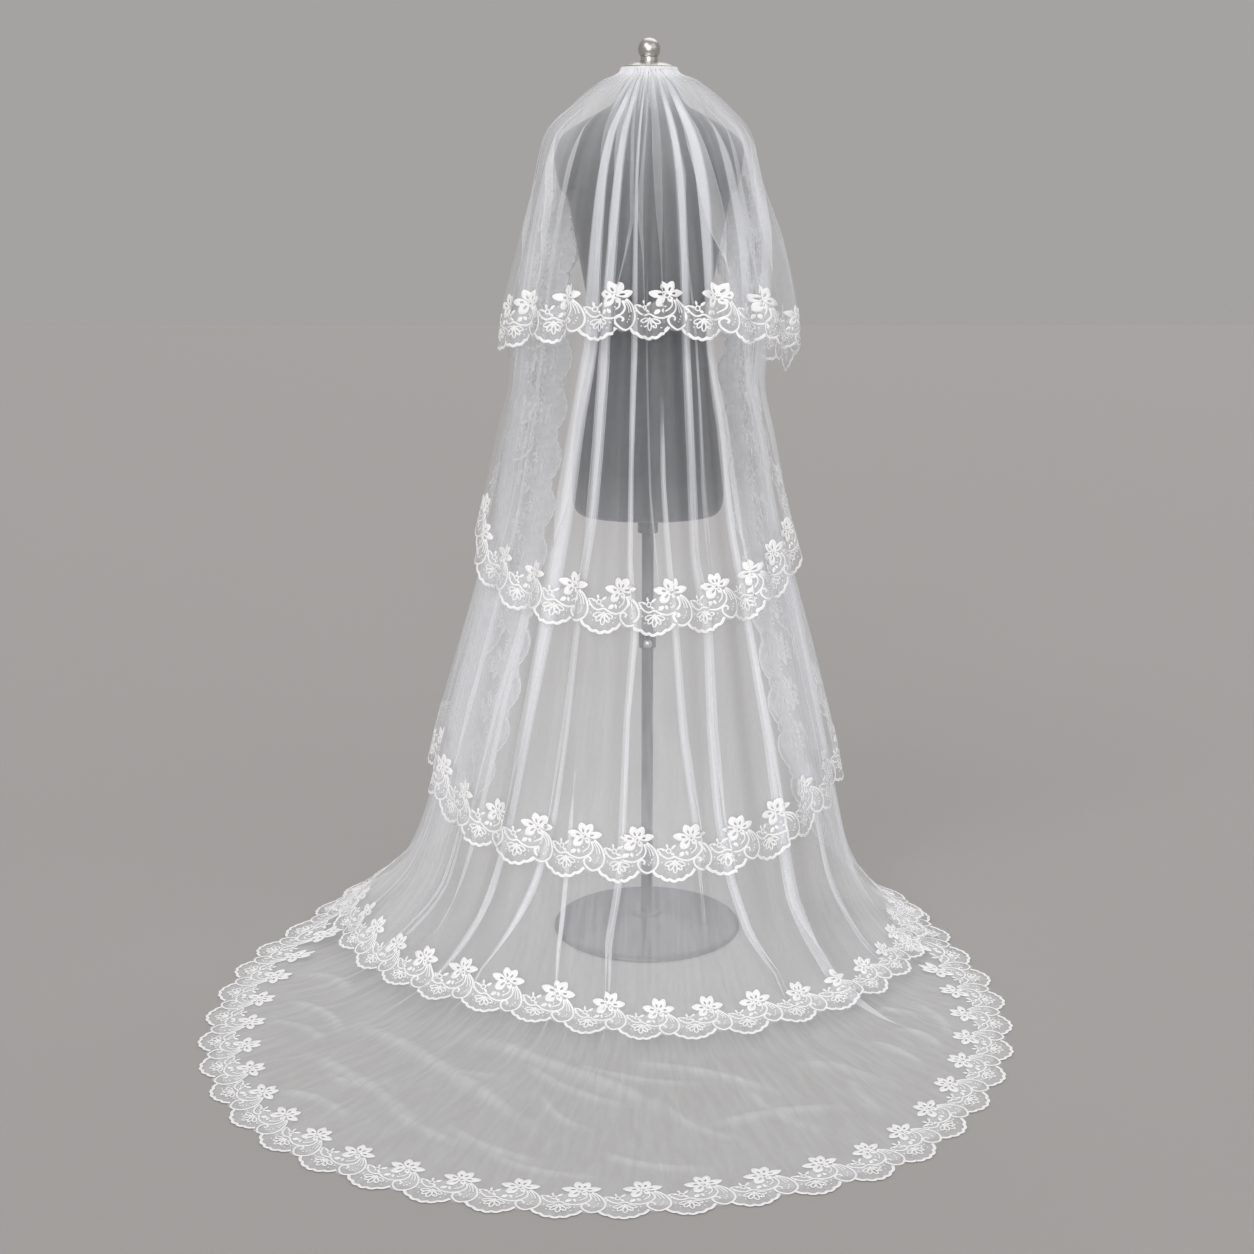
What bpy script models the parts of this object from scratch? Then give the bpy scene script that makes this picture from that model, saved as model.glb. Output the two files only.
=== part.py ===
"""Five-tier bridal veil with lace edging, gathered on the neck of a limbless dress form.

The veil hangs down the form's back, toward -Y, and its train lies on the floor there. The origin is on
the floor, on the pole's axis. Azimuths are degrees round that axis: 0 is the back, -90 the left of the
view on the back and +90 the right. All five tiers are copies of one draped surface, moved out along its
normals, so they nest and never cross.
"""
import math
from collections import namedtuple

import bpy
import bmesh
from mathutils import Vector
from mathutils.geometry import delaunay_2d_cdt

MM = 0.001

TULLE_WALL = 1.2 * MM
LACE_WALL = 1.8 * MM
SEAM_GAP = 0.4 * MM
SEAT_GAP = 0.3 * MM

# The draped surface, as the inner face of the innermost tier. Each row is one ring round the axis:
# its height, its reach to the four sides, how far the cloth wraps round, and how square the ring is.
Ring = namedtuple("Ring", "height left right back front wrap squareness")
DRAPE = (
    Ring(1.5965, 0.0460, 0.0460, 0.0460, 0.0460, 0.55, 2.0),
    Ring(1.577, 0.079, 0.081, 0.060, 0.066, 0.72, 2.0),
    Ring(1.538, 0.130, 0.132, 0.081, 0.100, 0.88, 2.0),
    Ring(1.489, 0.1705, 0.1705, 0.102, 0.130, 0.97, 2.1),
    Ring(1.415, 0.186, 0.186, 0.123, 0.150, 1.0, 2.1),
    Ring(1.300, 0.204, 0.203, 0.145, 0.163, 1.0, 2.1),
    Ring(1.134, 0.220, 0.190, 0.172, 0.175, 1.0, 2.0),
    Ring(1.050, 0.222, 0.180, 0.188, 0.186, 1.0, 2.0),
    Ring(0.960, 0.238, 0.193, 0.204, 0.200, 1.0, 2.0),
    Ring(0.830, 0.259, 0.215, 0.226, 0.222, 1.0, 2.0),
    Ring(0.690, 0.293, 0.252, 0.262, 0.252, 1.0, 2.0),
    Ring(0.500, 0.341, 0.297, 0.300, 0.290, 1.0, 2.0),
    Ring(0.300, 0.392, 0.342, 0.342, 0.335, 1.0, 2.0),
    Ring(0.154, 0.448, 0.382, 0.385, 0.380, 1.0, 2.0),
    Ring(0.075, 0.520, 0.425, 0.430, 0.420, 1.0, 2.0),
    Ring(0.022, 0.590, 0.480, 0.485, 0.470, 1.0, 2.1),
    Ring(0.000, 0.690, 0.580, 0.580, 0.560, 1.0, 2.2),
    Ring(0.000, 0.820, 0.720, 0.800, 0.700, 1.0, 2.3),
    Ring(0.000, 0.980, 0.900, 1.150, 0.880, 1.0, 2.4),
)

# The pleats that run down from the gathers: where each crest lies and how far it stands out.
Pleat = namedtuple("Pleat", "azimuth height")
PLEATS = (
    Pleat(-110, 8 * MM),
    Pleat(-90, 13 * MM),
    Pleat(-73, 15 * MM),
    Pleat(-54, 12 * MM),
    Pleat(-38, 18 * MM),
    Pleat(-22, 12 * MM),
    Pleat(-6, 15 * MM),
    Pleat(11, 13 * MM),
    Pleat(27, 14 * MM),
    Pleat(43, 18 * MM),
    Pleat(60, 12 * MM),
    Pleat(78, 15 * MM),
    Pleat(95, 9 * MM),
    Pleat(112, 6 * MM),
)
OUTER_COLUMNS = (128, 152)
# How strongly the pleats show at each depth below the gathers.
Fade = namedtuple("Fade", "level strength")
PLEAT_FADES = (
    Fade(0.0, 0.0),
    Fade(0.10, 0.20),
    Fade(0.20, 0.35),
    Fade(0.42, 1.0),
    Fade(1.25, 1.0),
    Fade(1.50, 0.45),
    Fade(1.70, 0.25),
    Fade(1.86, 0.0),
)
LEVELS = (
    0.0, 0.045, 0.10, 0.155, 0.29, 0.42, 0.57, 0.73, 0.89, 1.05, 1.21, 1.35, 1.46, 1.55, 1.64, 1.74,
    1.87, 2.02, 2.20, 2.40,
)

# The clear spacing of neighbouring tiers, by depth below the gathers. It passes from the value behind to
# the value ahead over AHEAD_SPREAD degrees of azimuth.
AHEAD_START = 85.0
AHEAD_SPREAD = 30.0
Spacing = namedtuple("Spacing", "level behind ahead")
SPACINGS = (
    Spacing(0.0, 1.8 * MM, 2.2 * MM),
    Spacing(0.10, 1.8 * MM, 3.6 * MM),
    Spacing(0.15, 1.9 * MM, 4.2 * MM),
    Spacing(0.22, 2.3 * MM, 5.0 * MM),
    Spacing(0.60, 5.0 * MM, 8.2 * MM),
    Spacing(1.50, 5.5 * MM, 7.2 * MM),
    Spacing(1.80, 5.0 * MM, 5.5 * MM),
)

# How far a tier flares out of the stack at its own hem, and over what length it does so. Past FLARE_TURN
# degrees the hem climbs to the front edge, and the flare keeps the depth that the hem has there.
FLARE_TURN = 100.0
FLARE_HIGHEST = 0.18
Flare = namedtuple("Flare", "left right back front length")
FLARES = {
    1: Flare(0.020, 0.056, 0.022, 0.020, 0.42),
    2: Flare(0.020, 0.018, 0.014, 0.014, 0.45),
    3: Flare(0.014, 0.014, 0.014, 0.012, 0.45),
    4: Flare(0.006, 0.006, 0.006, 0.006, 0.30),
    5: Flare(0.0, 0.0, 0.0, 0.0, 0.30),
}

# The free edge of each tier, from the left front over the hem to the right front: at what height it
# passes each azimuth, or, where it lies on the floor, how far from the axis.
Edge = namedtuple("Edge", "azimuth height reach", defaults=(0.0,))
TIER_EDGES = {
    1: (
        Edge(-142, 1.42), Edge(-142, 1.32), Edge(-140, 1.23), Edge(-133, 1.145), Edge(-121, 1.095),
        Edge(-107, 1.09), Edge(-90, 1.115), Edge(-45, 1.14), Edge(0, 1.147), Edge(45, 1.14),
        Edge(90, 1.115), Edge(106, 1.08), Edge(120, 1.085), Edge(133, 1.14), Edge(140, 1.23),
        Edge(142, 1.32), Edge(142, 1.42),
    ),
    2: (
        Edge(-140, 1.42), Edge(-139, 1.20), Edge(-136, 1.04), Edge(-127, 0.93), Edge(-112, 0.835),
        Edge(-90, 0.755), Edge(-60, 0.69), Edge(-30, 0.66), Edge(0, 0.652), Edge(30, 0.66),
        Edge(60, 0.70), Edge(90, 0.745), Edge(111, 0.82), Edge(125, 0.91), Edge(134, 1.03),
        Edge(138, 1.20), Edge(140, 1.42),
    ),
    3: (
        Edge(-138, 1.42), Edge(-137, 1.10), Edge(-134, 0.80), Edge(-129, 0.62), Edge(-119, 0.49),
        Edge(-106, 0.40), Edge(-90, 0.335), Edge(-60, 0.27), Edge(-30, 0.24), Edge(0, 0.234),
        Edge(30, 0.245), Edge(60, 0.29), Edge(90, 0.345), Edge(106, 0.42), Edge(119, 0.52),
        Edge(129, 0.65), Edge(134, 0.82), Edge(136, 1.10), Edge(138, 1.42),
    ),
    4: (
        Edge(-136, 1.42), Edge(-135, 0.90), Edge(-133, 0.50), Edge(-128, 0.28), Edge(-121, 0.14),
        Edge(-112, 0.06), Edge(-100, 0, 0.61), Edge(-80, 0, 0.60), Edge(-56, 0, 0.572),
        Edge(-28, 0, 0.525), Edge(0, 0, 0.531), Edge(28, 0, 0.535), Edge(54, 0, 0.54),
        Edge(82, 0, 0.54), Edge(98, 0, 0.53), Edge(110, 0.05), Edge(119, 0.13), Edge(127, 0.29),
        Edge(133, 0.55), Edge(135, 0.90), Edge(136, 1.42),
    ),
    5: (
        Edge(-134, 1.42), Edge(-134, 0.90), Edge(-132, 0.50), Edge(-128, 0.25), Edge(-121, 0.10),
        Edge(-112, 0.032), Edge(-101, 0, 0.635), Edge(-90, 0, 0.68), Edge(-79, 0, 0.76),
        Edge(-66, 0, 0.845), Edge(-53, 0, 0.94), Edge(-38, 0, 1.02), Edge(-20, 0, 1.055),
        Edge(-3, 0, 1.047), Edge(12, 0, 1.014), Edge(23, 0, 0.985), Edge(35, 0, 0.905),
        Edge(48, 0, 0.815), Edge(62, 0, 0.715), Edge(78, 0, 0.61), Edge(94, 0, 0.555),
        Edge(105, 0.022), Edge(114, 0.05), Edge(122, 0.13), Edge(128, 0.28), Edge(132, 0.60),
        Edge(134, 1.00), Edge(134, 1.42),
    ),
}

# One repeat of the lace: where along it each corner lies, and how far in from the free edge.
LACE_REPEAT = 0.094
LACE_WIDEST_TURN = 27.0
Corner = namedtuple("Corner", "along inset")
SCALLOPS = (
    Corner(0.00, 12 * MM),
    Corner(0.18, 2 * MM),
    Corner(0.40, 9 * MM),
    Corner(0.70, 0.0),
)
FLOWER_SEAM = (
    Corner(0.05, 60 * MM),
    Corner(0.33, 96 * MM),
    Corner(0.66, 90 * MM),
)
# A seam corner is left out where the free edge bends so tightly that another stretch of it lies nearer,
# more than this share of the inset away along the edge.
TURN_SHARE = 0.35
# How near to the seam the tulle's inner corners and fixed edges may come, drawn flat.
CORNER_CLEAR = 0.010
EDGE_CLEAR = 0.007
TOP_CORNER_CLEAR = 0.020

# How finely curves are followed.
EDGE_STEPS = 24
EDGE_THINNING = 4
BISECTIONS = 40
SLOPE_TURN = 0.5
SLOPE_REACH = 2.0 * MM
TANGENT_REACH = 6.0 * MM
SMOOTH_ANGLE = 40.0
WELD_REACH = 0.05 * MM

# The heading that the gathers are sewn to, behind the neck cap.
HEADING_TURN = 80.0
HEADING_HEIGHT = 15 * MM
HEADING_THICKNESS = 9.2 * MM
HEADING_STEPS = 16
HEADING_ROUND_STEPS = 4

# The dress form's torso, one row for each ring.
Girth = namedtuple("Girth", "height side back front")
TORSO = (
    Girth(0.813, 0.112, 0.078, 0.078),
    Girth(0.818, 0.128, 0.094, 0.094),
    Girth(0.836, 0.138, 0.104, 0.103),
    Girth(0.880, 0.140, 0.106, 0.104),
    Girth(0.980, 0.133, 0.103, 0.100),
    Girth(1.060, 0.117, 0.092, 0.091),
    Girth(1.130, 0.105, 0.083, 0.086),
    Girth(1.200, 0.110, 0.088, 0.096),
    Girth(1.280, 0.124, 0.097, 0.113),
    Girth(1.346, 0.1365, 0.103, 0.119),
    Girth(1.400, 0.148, 0.103, 0.108),
    Girth(1.440, 0.162, 0.093, 0.088),
    Girth(1.468, 0.169, 0.078, 0.070),
    Girth(1.482, 0.163, 0.070, 0.062),
    Girth(1.505, 0.130, 0.060, 0.053),
    Girth(1.530, 0.086, 0.051, 0.048),
    Girth(1.548, 0.062, 0.046, 0.045),
    Girth(1.570, 0.049, 0.0435, 0.0435),
    Girth(1.5932, 0.0435, 0.0425, 0.0425),
)
TORSO_STEPS = 28

# Turned pieces, as outer profiles of (radius, height) rows from the top down.
Turn = namedtuple("Turn", "radius height")
CAP_RIM = 0.0445
CAP_FOOT = TORSO[-1].height + SEAT_GAP
CAP_TOP = 1.6165
NECK_CAP = (
    Turn(0.0, CAP_TOP), Turn(0.017, 1.6155), Turn(0.032, 1.6125), Turn(0.0425, 1.6065),
    Turn(CAP_RIM, 1.603), Turn(CAP_RIM, CAP_FOOT), Turn(0.0, CAP_FOOT),
)
STEM_RADIUS = 0.0155
BALL_RADIUS = 0.0195
BALL_HEIGHT = 1.6370
BALL_STEPS = 7
BALL_FOOT_RADIUS = 0.0096
POLE_RADIUS = 0.011
FOOT_RADIUS = 0.180
STAND_FOOT = (
    Turn(0.0, 0.030), Turn(0.024, 0.030), Turn(0.030, 0.024), Turn(0.100, 0.015),
    Turn(0.170, 0.010), Turn(0.178, 0.007), Turn(FOOT_RADIUS, 0.003), Turn(FOOT_RADIUS, 0.0),
    Turn(0.0, 0.0),
)
COLLAR_RADIUS = 0.019
COLLAR_TOP = TORSO[0].height - SEAT_GAP
COLLAR_HEIGHT = 0.032
CLAMP_RADIUS = 0.016
CLAMP_FOOT = 0.560
CLAMP_HEIGHT = 0.030
KNOB_RADIUS = 0.008
KNOB_LENGTH = 0.014
KNOB_STEM_RADIUS = 0.003
KNOB_STEM_LENGTH = 0.010
ROUND_STEPS = 20


def smooth_step(value):
    value = min(max(value, 0.0), 1.0)
    return value * value * (3.0 - 2.0 * value)


def interpolate(rows, position):
    """Linear reading of a table of (position, value, ...) rows; returns the values after the first."""
    if position <= rows[0][0]:
        return tuple(rows[0][1:])
    for low, high in zip(rows, rows[1:]):
        if position <= high[0]:
            share = (position - low[0]) / (high[0] - low[0])
            return tuple(a + share * (b - a) for a, b in zip(low[1:], high[1:]))
    return tuple(rows[-1][1:])


def ring_levels():
    """Depth of each ring below the gathers, measured down the middle of the back."""
    levels = [0.0]
    for above, below in zip(DRAPE, DRAPE[1:]):
        step = math.hypot(below.back - above.back, below.height - above.height)
        levels.append(levels[-1] + step)
    return levels


RING_LEVELS = ring_levels()


def ring_slopes(values):
    """Monotone cubic slopes, so that a reading between two rings never overshoots them."""
    steps = [b - a for a, b in zip(RING_LEVELS, RING_LEVELS[1:])]
    rates = [(b - a) / step for a, b, step in zip(values, values[1:], steps)]
    slopes = [rates[0]]
    for before, after in zip(rates, rates[1:]):
        same_way = before * after > 0.0
        slopes.append(2.0 * before * after / (before + after) if same_way else 0.0)
    slopes.append(rates[-1])
    return slopes


RING_VALUES = {name: [getattr(ring, name) for ring in DRAPE] for name in Ring._fields}
RING_SLOPES = {name: ring_slopes(values) for name, values in RING_VALUES.items()}


def ring_value(name, level):
    values = RING_VALUES[name]
    slopes = RING_SLOPES[name]
    index = 0
    while index < len(RING_LEVELS) - 2 and level > RING_LEVELS[index + 1]:
        index += 1
    step = RING_LEVELS[index + 1] - RING_LEVELS[index]
    share = min(max((level - RING_LEVELS[index]) / step, 0.0), 1.0)
    rest = 1.0 - share
    return (
        values[index] * rest * rest * (1.0 + 2.0 * share)
        + values[index + 1] * share * share * (3.0 - 2.0 * share)
        + slopes[index] * step * share * rest * rest
        - slopes[index + 1] * step * share * share * rest
    )


def ring_reach(azimuth, level):
    """Distance of the unpleated surface from the axis, and the direction that the azimuth has there."""
    turn = math.radians(azimuth * ring_value("wrap", level))
    sideways = ring_value("right" if turn > 0.0 else "left", level)
    lengthways = ring_value("back" if math.cos(turn) > 0.0 else "front", level)
    power = ring_value("squareness", level)
    share = (abs(math.sin(turn)) / sideways) ** power + (abs(math.cos(turn)) / lengthways) ** power
    return share ** (-1.0 / power), turn


def smooth_point(azimuth, level):
    reach, turn = ring_reach(azimuth, level)
    return Vector((reach * math.sin(turn), -reach * math.cos(turn), ring_value("height", level)))


def smooth_slopes(azimuth, level):
    """How the unpleated surface moves per degree of azimuth and per metre of depth."""
    across = smooth_point(azimuth + SLOPE_TURN, level) - smooth_point(azimuth - SLOPE_TURN, level)
    above = max(level - SLOPE_REACH, 0.0)
    below = level + SLOPE_REACH
    down = smooth_point(azimuth, below) - smooth_point(azimuth, above)
    return across / (2.0 * SLOPE_TURN), down / (below - above)


def smooth_normal(azimuth, level):
    """The surface's outward normal, turned level at the gathers, where all tiers meet the heading."""
    across, down = smooth_slopes(azimuth, level)
    normal = down.cross(across).normalized()
    if level <= 0.0:
        normal.z = 0.0
        normal.normalize()
    return normal


def column_azimuths():
    """Crests and the valleys halfway between them, with the plain columns at both fronts."""
    crests = [pleat.azimuth for pleat in PLEATS]
    valleys = [(a + b) / 2.0 for a, b in zip(crests, crests[1:])]
    fronts = [side * azimuth for side in (-1, 1) for azimuth in OUTER_COLUMNS]
    return sorted(crests + valleys + fronts)


COLUMNS = column_azimuths()
CREST_HEIGHTS = {pleat.azimuth: pleat.height for pleat in PLEATS}


def pleat_height(azimuth, level):
    return CREST_HEIGHTS.get(azimuth, 0.0) * interpolate(PLEAT_FADES, level)[0]


PLEATED = [
    [smooth_point(azimuth, level) + smooth_normal(azimuth, level) * pleat_height(azimuth, level)
     for azimuth in COLUMNS]
    for level in LEVELS
]
NORMALS = [[smooth_normal(azimuth, level) for azimuth in COLUMNS] for level in LEVELS]


def edge_level(edge):
    """Depth at which a row of the edge table meets the draped surface."""
    low, high = 0.0, RING_LEVELS[-1]
    for _ in range(BISECTIONS):
        middle = (low + high) / 2.0
        if edge.reach:
            above = ring_reach(edge.azimuth, middle)[0] < edge.reach
        else:
            above = ring_value("height", middle) > edge.height
        low, high = (middle, high) if above else (low, middle)
    return (low + high) / 2.0


def hem_rows(edges):
    """Depth of a tier's hem below the gathers, as (azimuth, level) rows."""
    rows = [(edge.azimuth, edge_level(edge)) for edge in edges]
    return [row for row, after in zip(rows, rows[1:]) if after[0] > row[0]] + [rows[-1]]


HEMS = {tier: hem_rows(edges) for tier, edges in TIER_EDGES.items()}


def tier_offset(tier, azimuth, level):
    """How far a tier's inner face stands out from the innermost tier's."""
    behind, ahead = interpolate(SPACINGS, level)
    front_share = smooth_step((abs(azimuth) - AHEAD_START) / AHEAD_SPREAD)
    spacing = behind + (ahead - behind) * front_share
    flare = FLARES[tier]
    turn = math.radians(azimuth)
    side = flare.right if azimuth > 0.0 else flare.left
    end = flare.back if math.cos(turn) > 0.0 else flare.front
    amount = end + (side - end) * math.sin(turn) ** 2
    hem = interpolate(HEMS[tier], min(max(azimuth, -FLARE_TURN), FLARE_TURN))[0]
    start = max(hem - flare.length, FLARE_HIGHEST)
    return (5 - tier) * spacing + amount * smooth_step((level - start) / (hem - start))


class Tier:
    """One tier's faceted surface: its corners on the shared columns and levels."""

    def __init__(self, number):
        self.offsets = [[tier_offset(number, azimuth, level) for azimuth in COLUMNS] for level in LEVELS]

    def corner(self, row, column, lift):
        distance = self.offsets[row][column] + lift
        return PLEATED[row][column] + NORMALS[row][column] * distance

    def point(self, azimuth, level, lift):
        """A point of the facet that holds an azimuth and a depth, lifted off the inner face."""
        column = 0
        while column < len(COLUMNS) - 2 and azimuth > COLUMNS[column + 1]:
            column += 1
        row = 0
        while row < len(LEVELS) - 2 and level > LEVELS[row + 1]:
            row += 1
        across = (azimuth - COLUMNS[column]) / (COLUMNS[column + 1] - COLUMNS[column])
        down = (level - LEVELS[row]) / (LEVELS[row + 1] - LEVELS[row])
        near = self.corner(row, column, lift)
        far = self.corner(row + 1, column + 1, lift)
        if across > down:
            side = self.corner(row, column + 1, lift)
            return near * (1.0 - across) + side * (across - down) + far * down
        side = self.corner(row + 1, column, lift)
        return near * (1.0 - down) + side * (down - across) + far * across


def edge_curve(tier):
    """The free edge as closely spaced (azimuth, level, distance along it) rows."""
    knots = [(edge.azimuth, edge_level(edge)) for edge in TIER_EDGES[tier]]
    padded = [tuple(2.0 * a - b for a, b in zip(knots[0], knots[1]))] + knots
    padded.append(tuple(2.0 * a - b for a, b in zip(knots[-1], knots[-2])))
    samples = []
    for p0, p1, p2, p3 in zip(padded, padded[1:], padded[2:], padded[3:]):
        for step in range(EDGE_STEPS):
            t = step / EDGE_STEPS
            samples.append(tuple(
                0.5 * (2.0 * b + (c - a) * t + (2.0 * a - 5.0 * b + 4.0 * c - d) * t * t
                       + (3.0 * b - a - 3.0 * c + d) * t ** 3)
                for a, b, c, d in zip(p0, p1, p2, p3)))
    samples.append(knots[-1])
    rows = []
    length = 0.0
    before = None
    for azimuth, level in samples:
        here = smooth_point(azimuth, level)
        length += (here - before).length if before else 0.0
        rows.append((length, azimuth, level))
        before = here
    return rows


def inset_place(curve, length, inset, gap=0.0):
    """The (azimuth, level) that lies a distance in from the free edge, square to it.

    Near the gathers the inset is kept to a widest turn, and the seam's gap is added past that.
    """
    azimuth, level = interpolate(curve, length)
    before = interpolate(curve, max(length - TANGENT_REACH, 0.0))
    after = interpolate(curve, min(length + TANGENT_REACH, curve[-1][0]))
    tangent = (smooth_point(*after) - smooth_point(*before)).normalized()
    inward = smooth_normal(azimuth, level).cross(tangent).normalized()
    across, down = smooth_slopes(azimuth, level)
    square, mixed, plumb = across.dot(across), across.dot(down), down.dot(down)
    from_across, from_down = inward.dot(across), inward.dot(down)
    scale = 1.0 / (square * plumb - mixed * mixed)
    turn = (plumb * from_across - mixed * from_down) * scale
    drop = (square * from_down - mixed * from_across) * scale
    amount = min(inset, LACE_WIDEST_TURN / max(abs(turn), 1.0)) + gap
    return azimuth + turn * amount, level + drop * amount


def scallop_places(curve):
    """All corners of a band's free edge, as (azimuth, level) places."""
    total = curve[-1][0]
    count = round(total / LACE_REPEAT)
    places = [inset_place(curve, 0.0, 0.0)]
    for index in range(count):
        for corner in SCALLOPS:
            length = (index + corner.along) / count * total
            if length > 0.0:
                places.append(inset_place(curve, length, corner.inset))
    return places + [inset_place(curve, total, 0.0)]


def seam_places(curve, gap):
    """All corners of the seam between a lace band and its tulle, as (azimuth, level) places.

    A corner is left out where a tight bend would bring it nearest to another stretch of the free edge.
    """
    total = curve[-1][0]
    count = round(total / LACE_REPEAT)
    free_edge = [(length, smooth_point(azimuth, level)) for length, azimuth, level in curve[::EDGE_THINNING]]
    first = inset_place(curve, 0.0, FLOWER_SEAM[0].inset, gap)
    last = inset_place(curve, total, FLOWER_SEAM[0].inset, gap)
    places = [(first[0], curve[0][2] - gap)]
    for index in range(count):
        for corner in FLOWER_SEAM:
            length = (index + corner.along) / count * total
            point = smooth_point(*inset_place(curve, length, corner.inset))
            nearest = min(free_edge, key=lambda row: (point - row[1]).length)[0]
            if abs(nearest - length) < TURN_SHARE * corner.inset and length > LACE_REPEAT / 4.0:
                places.append(inset_place(curve, length, corner.inset, gap))
    return places + [(last[0], curve[-1][2] - gap)]


# Places are triangulated flat, with a degree drawn as this many metres.
FLAT_DEGREE = 0.0055


def flat(place):
    return Vector((place[0] * FLAT_DEGREE, place[1]))


def triangulate(outline, inner, inner_edges):
    """Triangles of a flat outline with fixed inner places and fixed edges between them."""
    places = outline + inner
    first = len(outline)
    edges = [(first + a, first + b) for a, b in inner_edges]
    loop = list(range(first))[::-1]
    points, _, faces, _, _, _ = delaunay_2d_cdt([flat(p) for p in places], edges, [loop], 1, 1e-7)
    if len(points) != len(places):
        raise ValueError("the outline or a fixed edge crosses another")
    return places, [tuple(face) for face in faces]


def distance_to_line(point, line):
    nearest = math.inf
    for a, b in zip(line, line[1:]):
        along = b - a
        share = min(max((point - a).dot(along) / max(along.length_squared, 1e-12), 0.0), 1.0)
        nearest = min(nearest, (point - a - along * share).length)
    return nearest


def is_inside(point, line):
    inside = False
    for a, b in zip(line, line[1:] + line[:1]):
        if (a.y > point.y) != (b.y > point.y):
            if point.x < a.x + (point.y - a.y) / (b.y - a.y) * (b.x - a.x):
                inside = not inside
    return inside


def wall_mesh(name, tier, places, triangles, thickness):
    """A closed cloth wall on a tier's surface: inner faces, outer faces and the cut edge all round."""
    mesh = bmesh.new()
    inner = [mesh.verts.new(tier.point(*place, 0.0)) for place in places]
    outer = [mesh.verts.new(tier.point(*place, thickness)) for place in places]
    rims = {}
    for a, b, c in triangles:
        mesh.faces.new((inner[a], inner[b], inner[c]))
        mesh.faces.new((outer[c], outer[b], outer[a]))
        for start, end in ((a, b), (b, c), (c, a)):
            if (end, start) in rims:
                del rims[(end, start)]
            else:
                rims[(start, end)] = True
    for start, end in rims:
        mesh.faces.new((inner[end], inner[start], outer[start]))
        mesh.faces.new((inner[end], outer[start], outer[end]))
    bmesh.ops.recalc_face_normals(mesh, faces=mesh.faces)
    if mesh.calc_volume(signed=True) < 0.0:
        bmesh.ops.reverse_faces(mesh, faces=mesh.faces)
    data = bpy.data.meshes.new(name)
    mesh.to_mesh(data)
    mesh.free()
    return data


def tulle_outline(curve):
    """The tulle panel's cut: gathered top, two plain front edges and the flower-shaped seam."""
    seam = seam_places(curve, SEAM_GAP)
    left_azimuth, left_level = curve[0][1], curve[0][2] - SEAM_GAP
    right_azimuth, right_level = curve[-1][1], curve[-1][2] - SEAM_GAP
    left_edge = [(left_azimuth, level) for level in LEVELS if level < left_level - TOP_CORNER_CLEAR]
    right_edge = [(right_azimuth, level) for level in LEVELS if level < right_level - TOP_CORNER_CLEAR]
    top = [(azimuth, 0.0) for azimuth in reversed(COLUMNS) if left_azimuth < azimuth < right_azimuth]
    outline = left_edge + [(left_azimuth, left_level)] + seam
    outline += [(right_azimuth, right_level)] + right_edge[::-1] + top
    return outline, seam


def front_strip_edges(outline, kept):
    """Fixed edges from the last columns to the plain front edges, so that all tiers fold alike there.

    Indices count from the first inner place, so places of the outline come out negative.
    """
    first = -len(outline)
    lowest = max(place[1] for place in outline[:len(LEVELS)] if place[0] == outline[0][0])
    corners = [index for index, place in enumerate(outline) if abs(place[1] - lowest) < SEAM_GAP]
    last_row = max(row for row, level in enumerate(LEVELS) if level < lowest)
    edges = []
    for column, side, step in ((OUTER_COLUMNS[0], 1, 1), (-OUTER_COLUMNS[0], -1, -1)):
        for row in range(1, last_row + 1):
            node = kept[(row, COLUMNS.index(column))]
            targets = [LEVELS[row], LEVELS[row + step]]
            for index, (azimuth, level) in enumerate(outline):
                if azimuth * side > OUTER_COLUMNS[0] and level in targets:
                    edges.append((node, first + index))
        for index in corners:
            if outline[index][0] * side > 0.0:
                edges.append((node, first + index))
    return edges


def tulle_panel(curve):
    outline, seam = tulle_outline(curve)
    flat_outline = [flat(place) for place in outline]
    flat_seam = [flat(place) for place in seam]
    kept = {}
    for row, level in enumerate(LEVELS[1:], start=1):
        for column, azimuth in enumerate(COLUMNS):
            point = flat((azimuth, level))
            if abs(azimuth) > OUTER_COLUMNS[0] or not is_inside(point, flat_outline):
                continue
            if distance_to_line(point, flat_seam) > CORNER_CLEAR:
                kept[(row, column)] = len(kept)
    inner = [(COLUMNS[column], LEVELS[row]) for row, column in kept]
    edges = front_strip_edges(outline, kept)
    for row, column in kept:
        for other in ((row + 1, column), (row, column + 1), (row + 1, column + 1)):
            if other not in kept:
                continue
            start = flat(inner[kept[(row, column)]])
            end = flat(inner[kept[other]])
            probes = [start.lerp(end, share) for share in (0.25, 0.5, 0.75)]
            if all(is_inside(probe, flat_outline) for probe in probes):
                if min(distance_to_line(probe, flat_seam) for probe in probes) > EDGE_CLEAR:
                    edges.append((kept[(row, column)], kept[other]))
    return triangulate(outline, inner, edges)


def lace_band(curve):
    return triangulate(scallop_places(curve) + seam_places(curve, 0.0)[::-1], [], [])


def material(name, colour, roughness, metallic=0.0):
    made = bpy.data.materials.new(name)
    made.use_nodes = True
    shader = made.node_tree.nodes["Principled BSDF"]
    shader.inputs["Base Color"].default_value = (*colour, 1.0)
    shader.inputs["Roughness"].default_value = roughness
    shader.inputs["Metallic"].default_value = metallic
    made.diffuse_color = (*colour, 1.0)
    return made


def add_object(name, data, look, parent, place=(0.0, 0.0, 0.0)):
    made = bpy.data.objects.new(name, data)
    data.materials.append(look)
    made.parent = parent
    made.location = place
    PART.objects.link(made)
    return made


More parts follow.
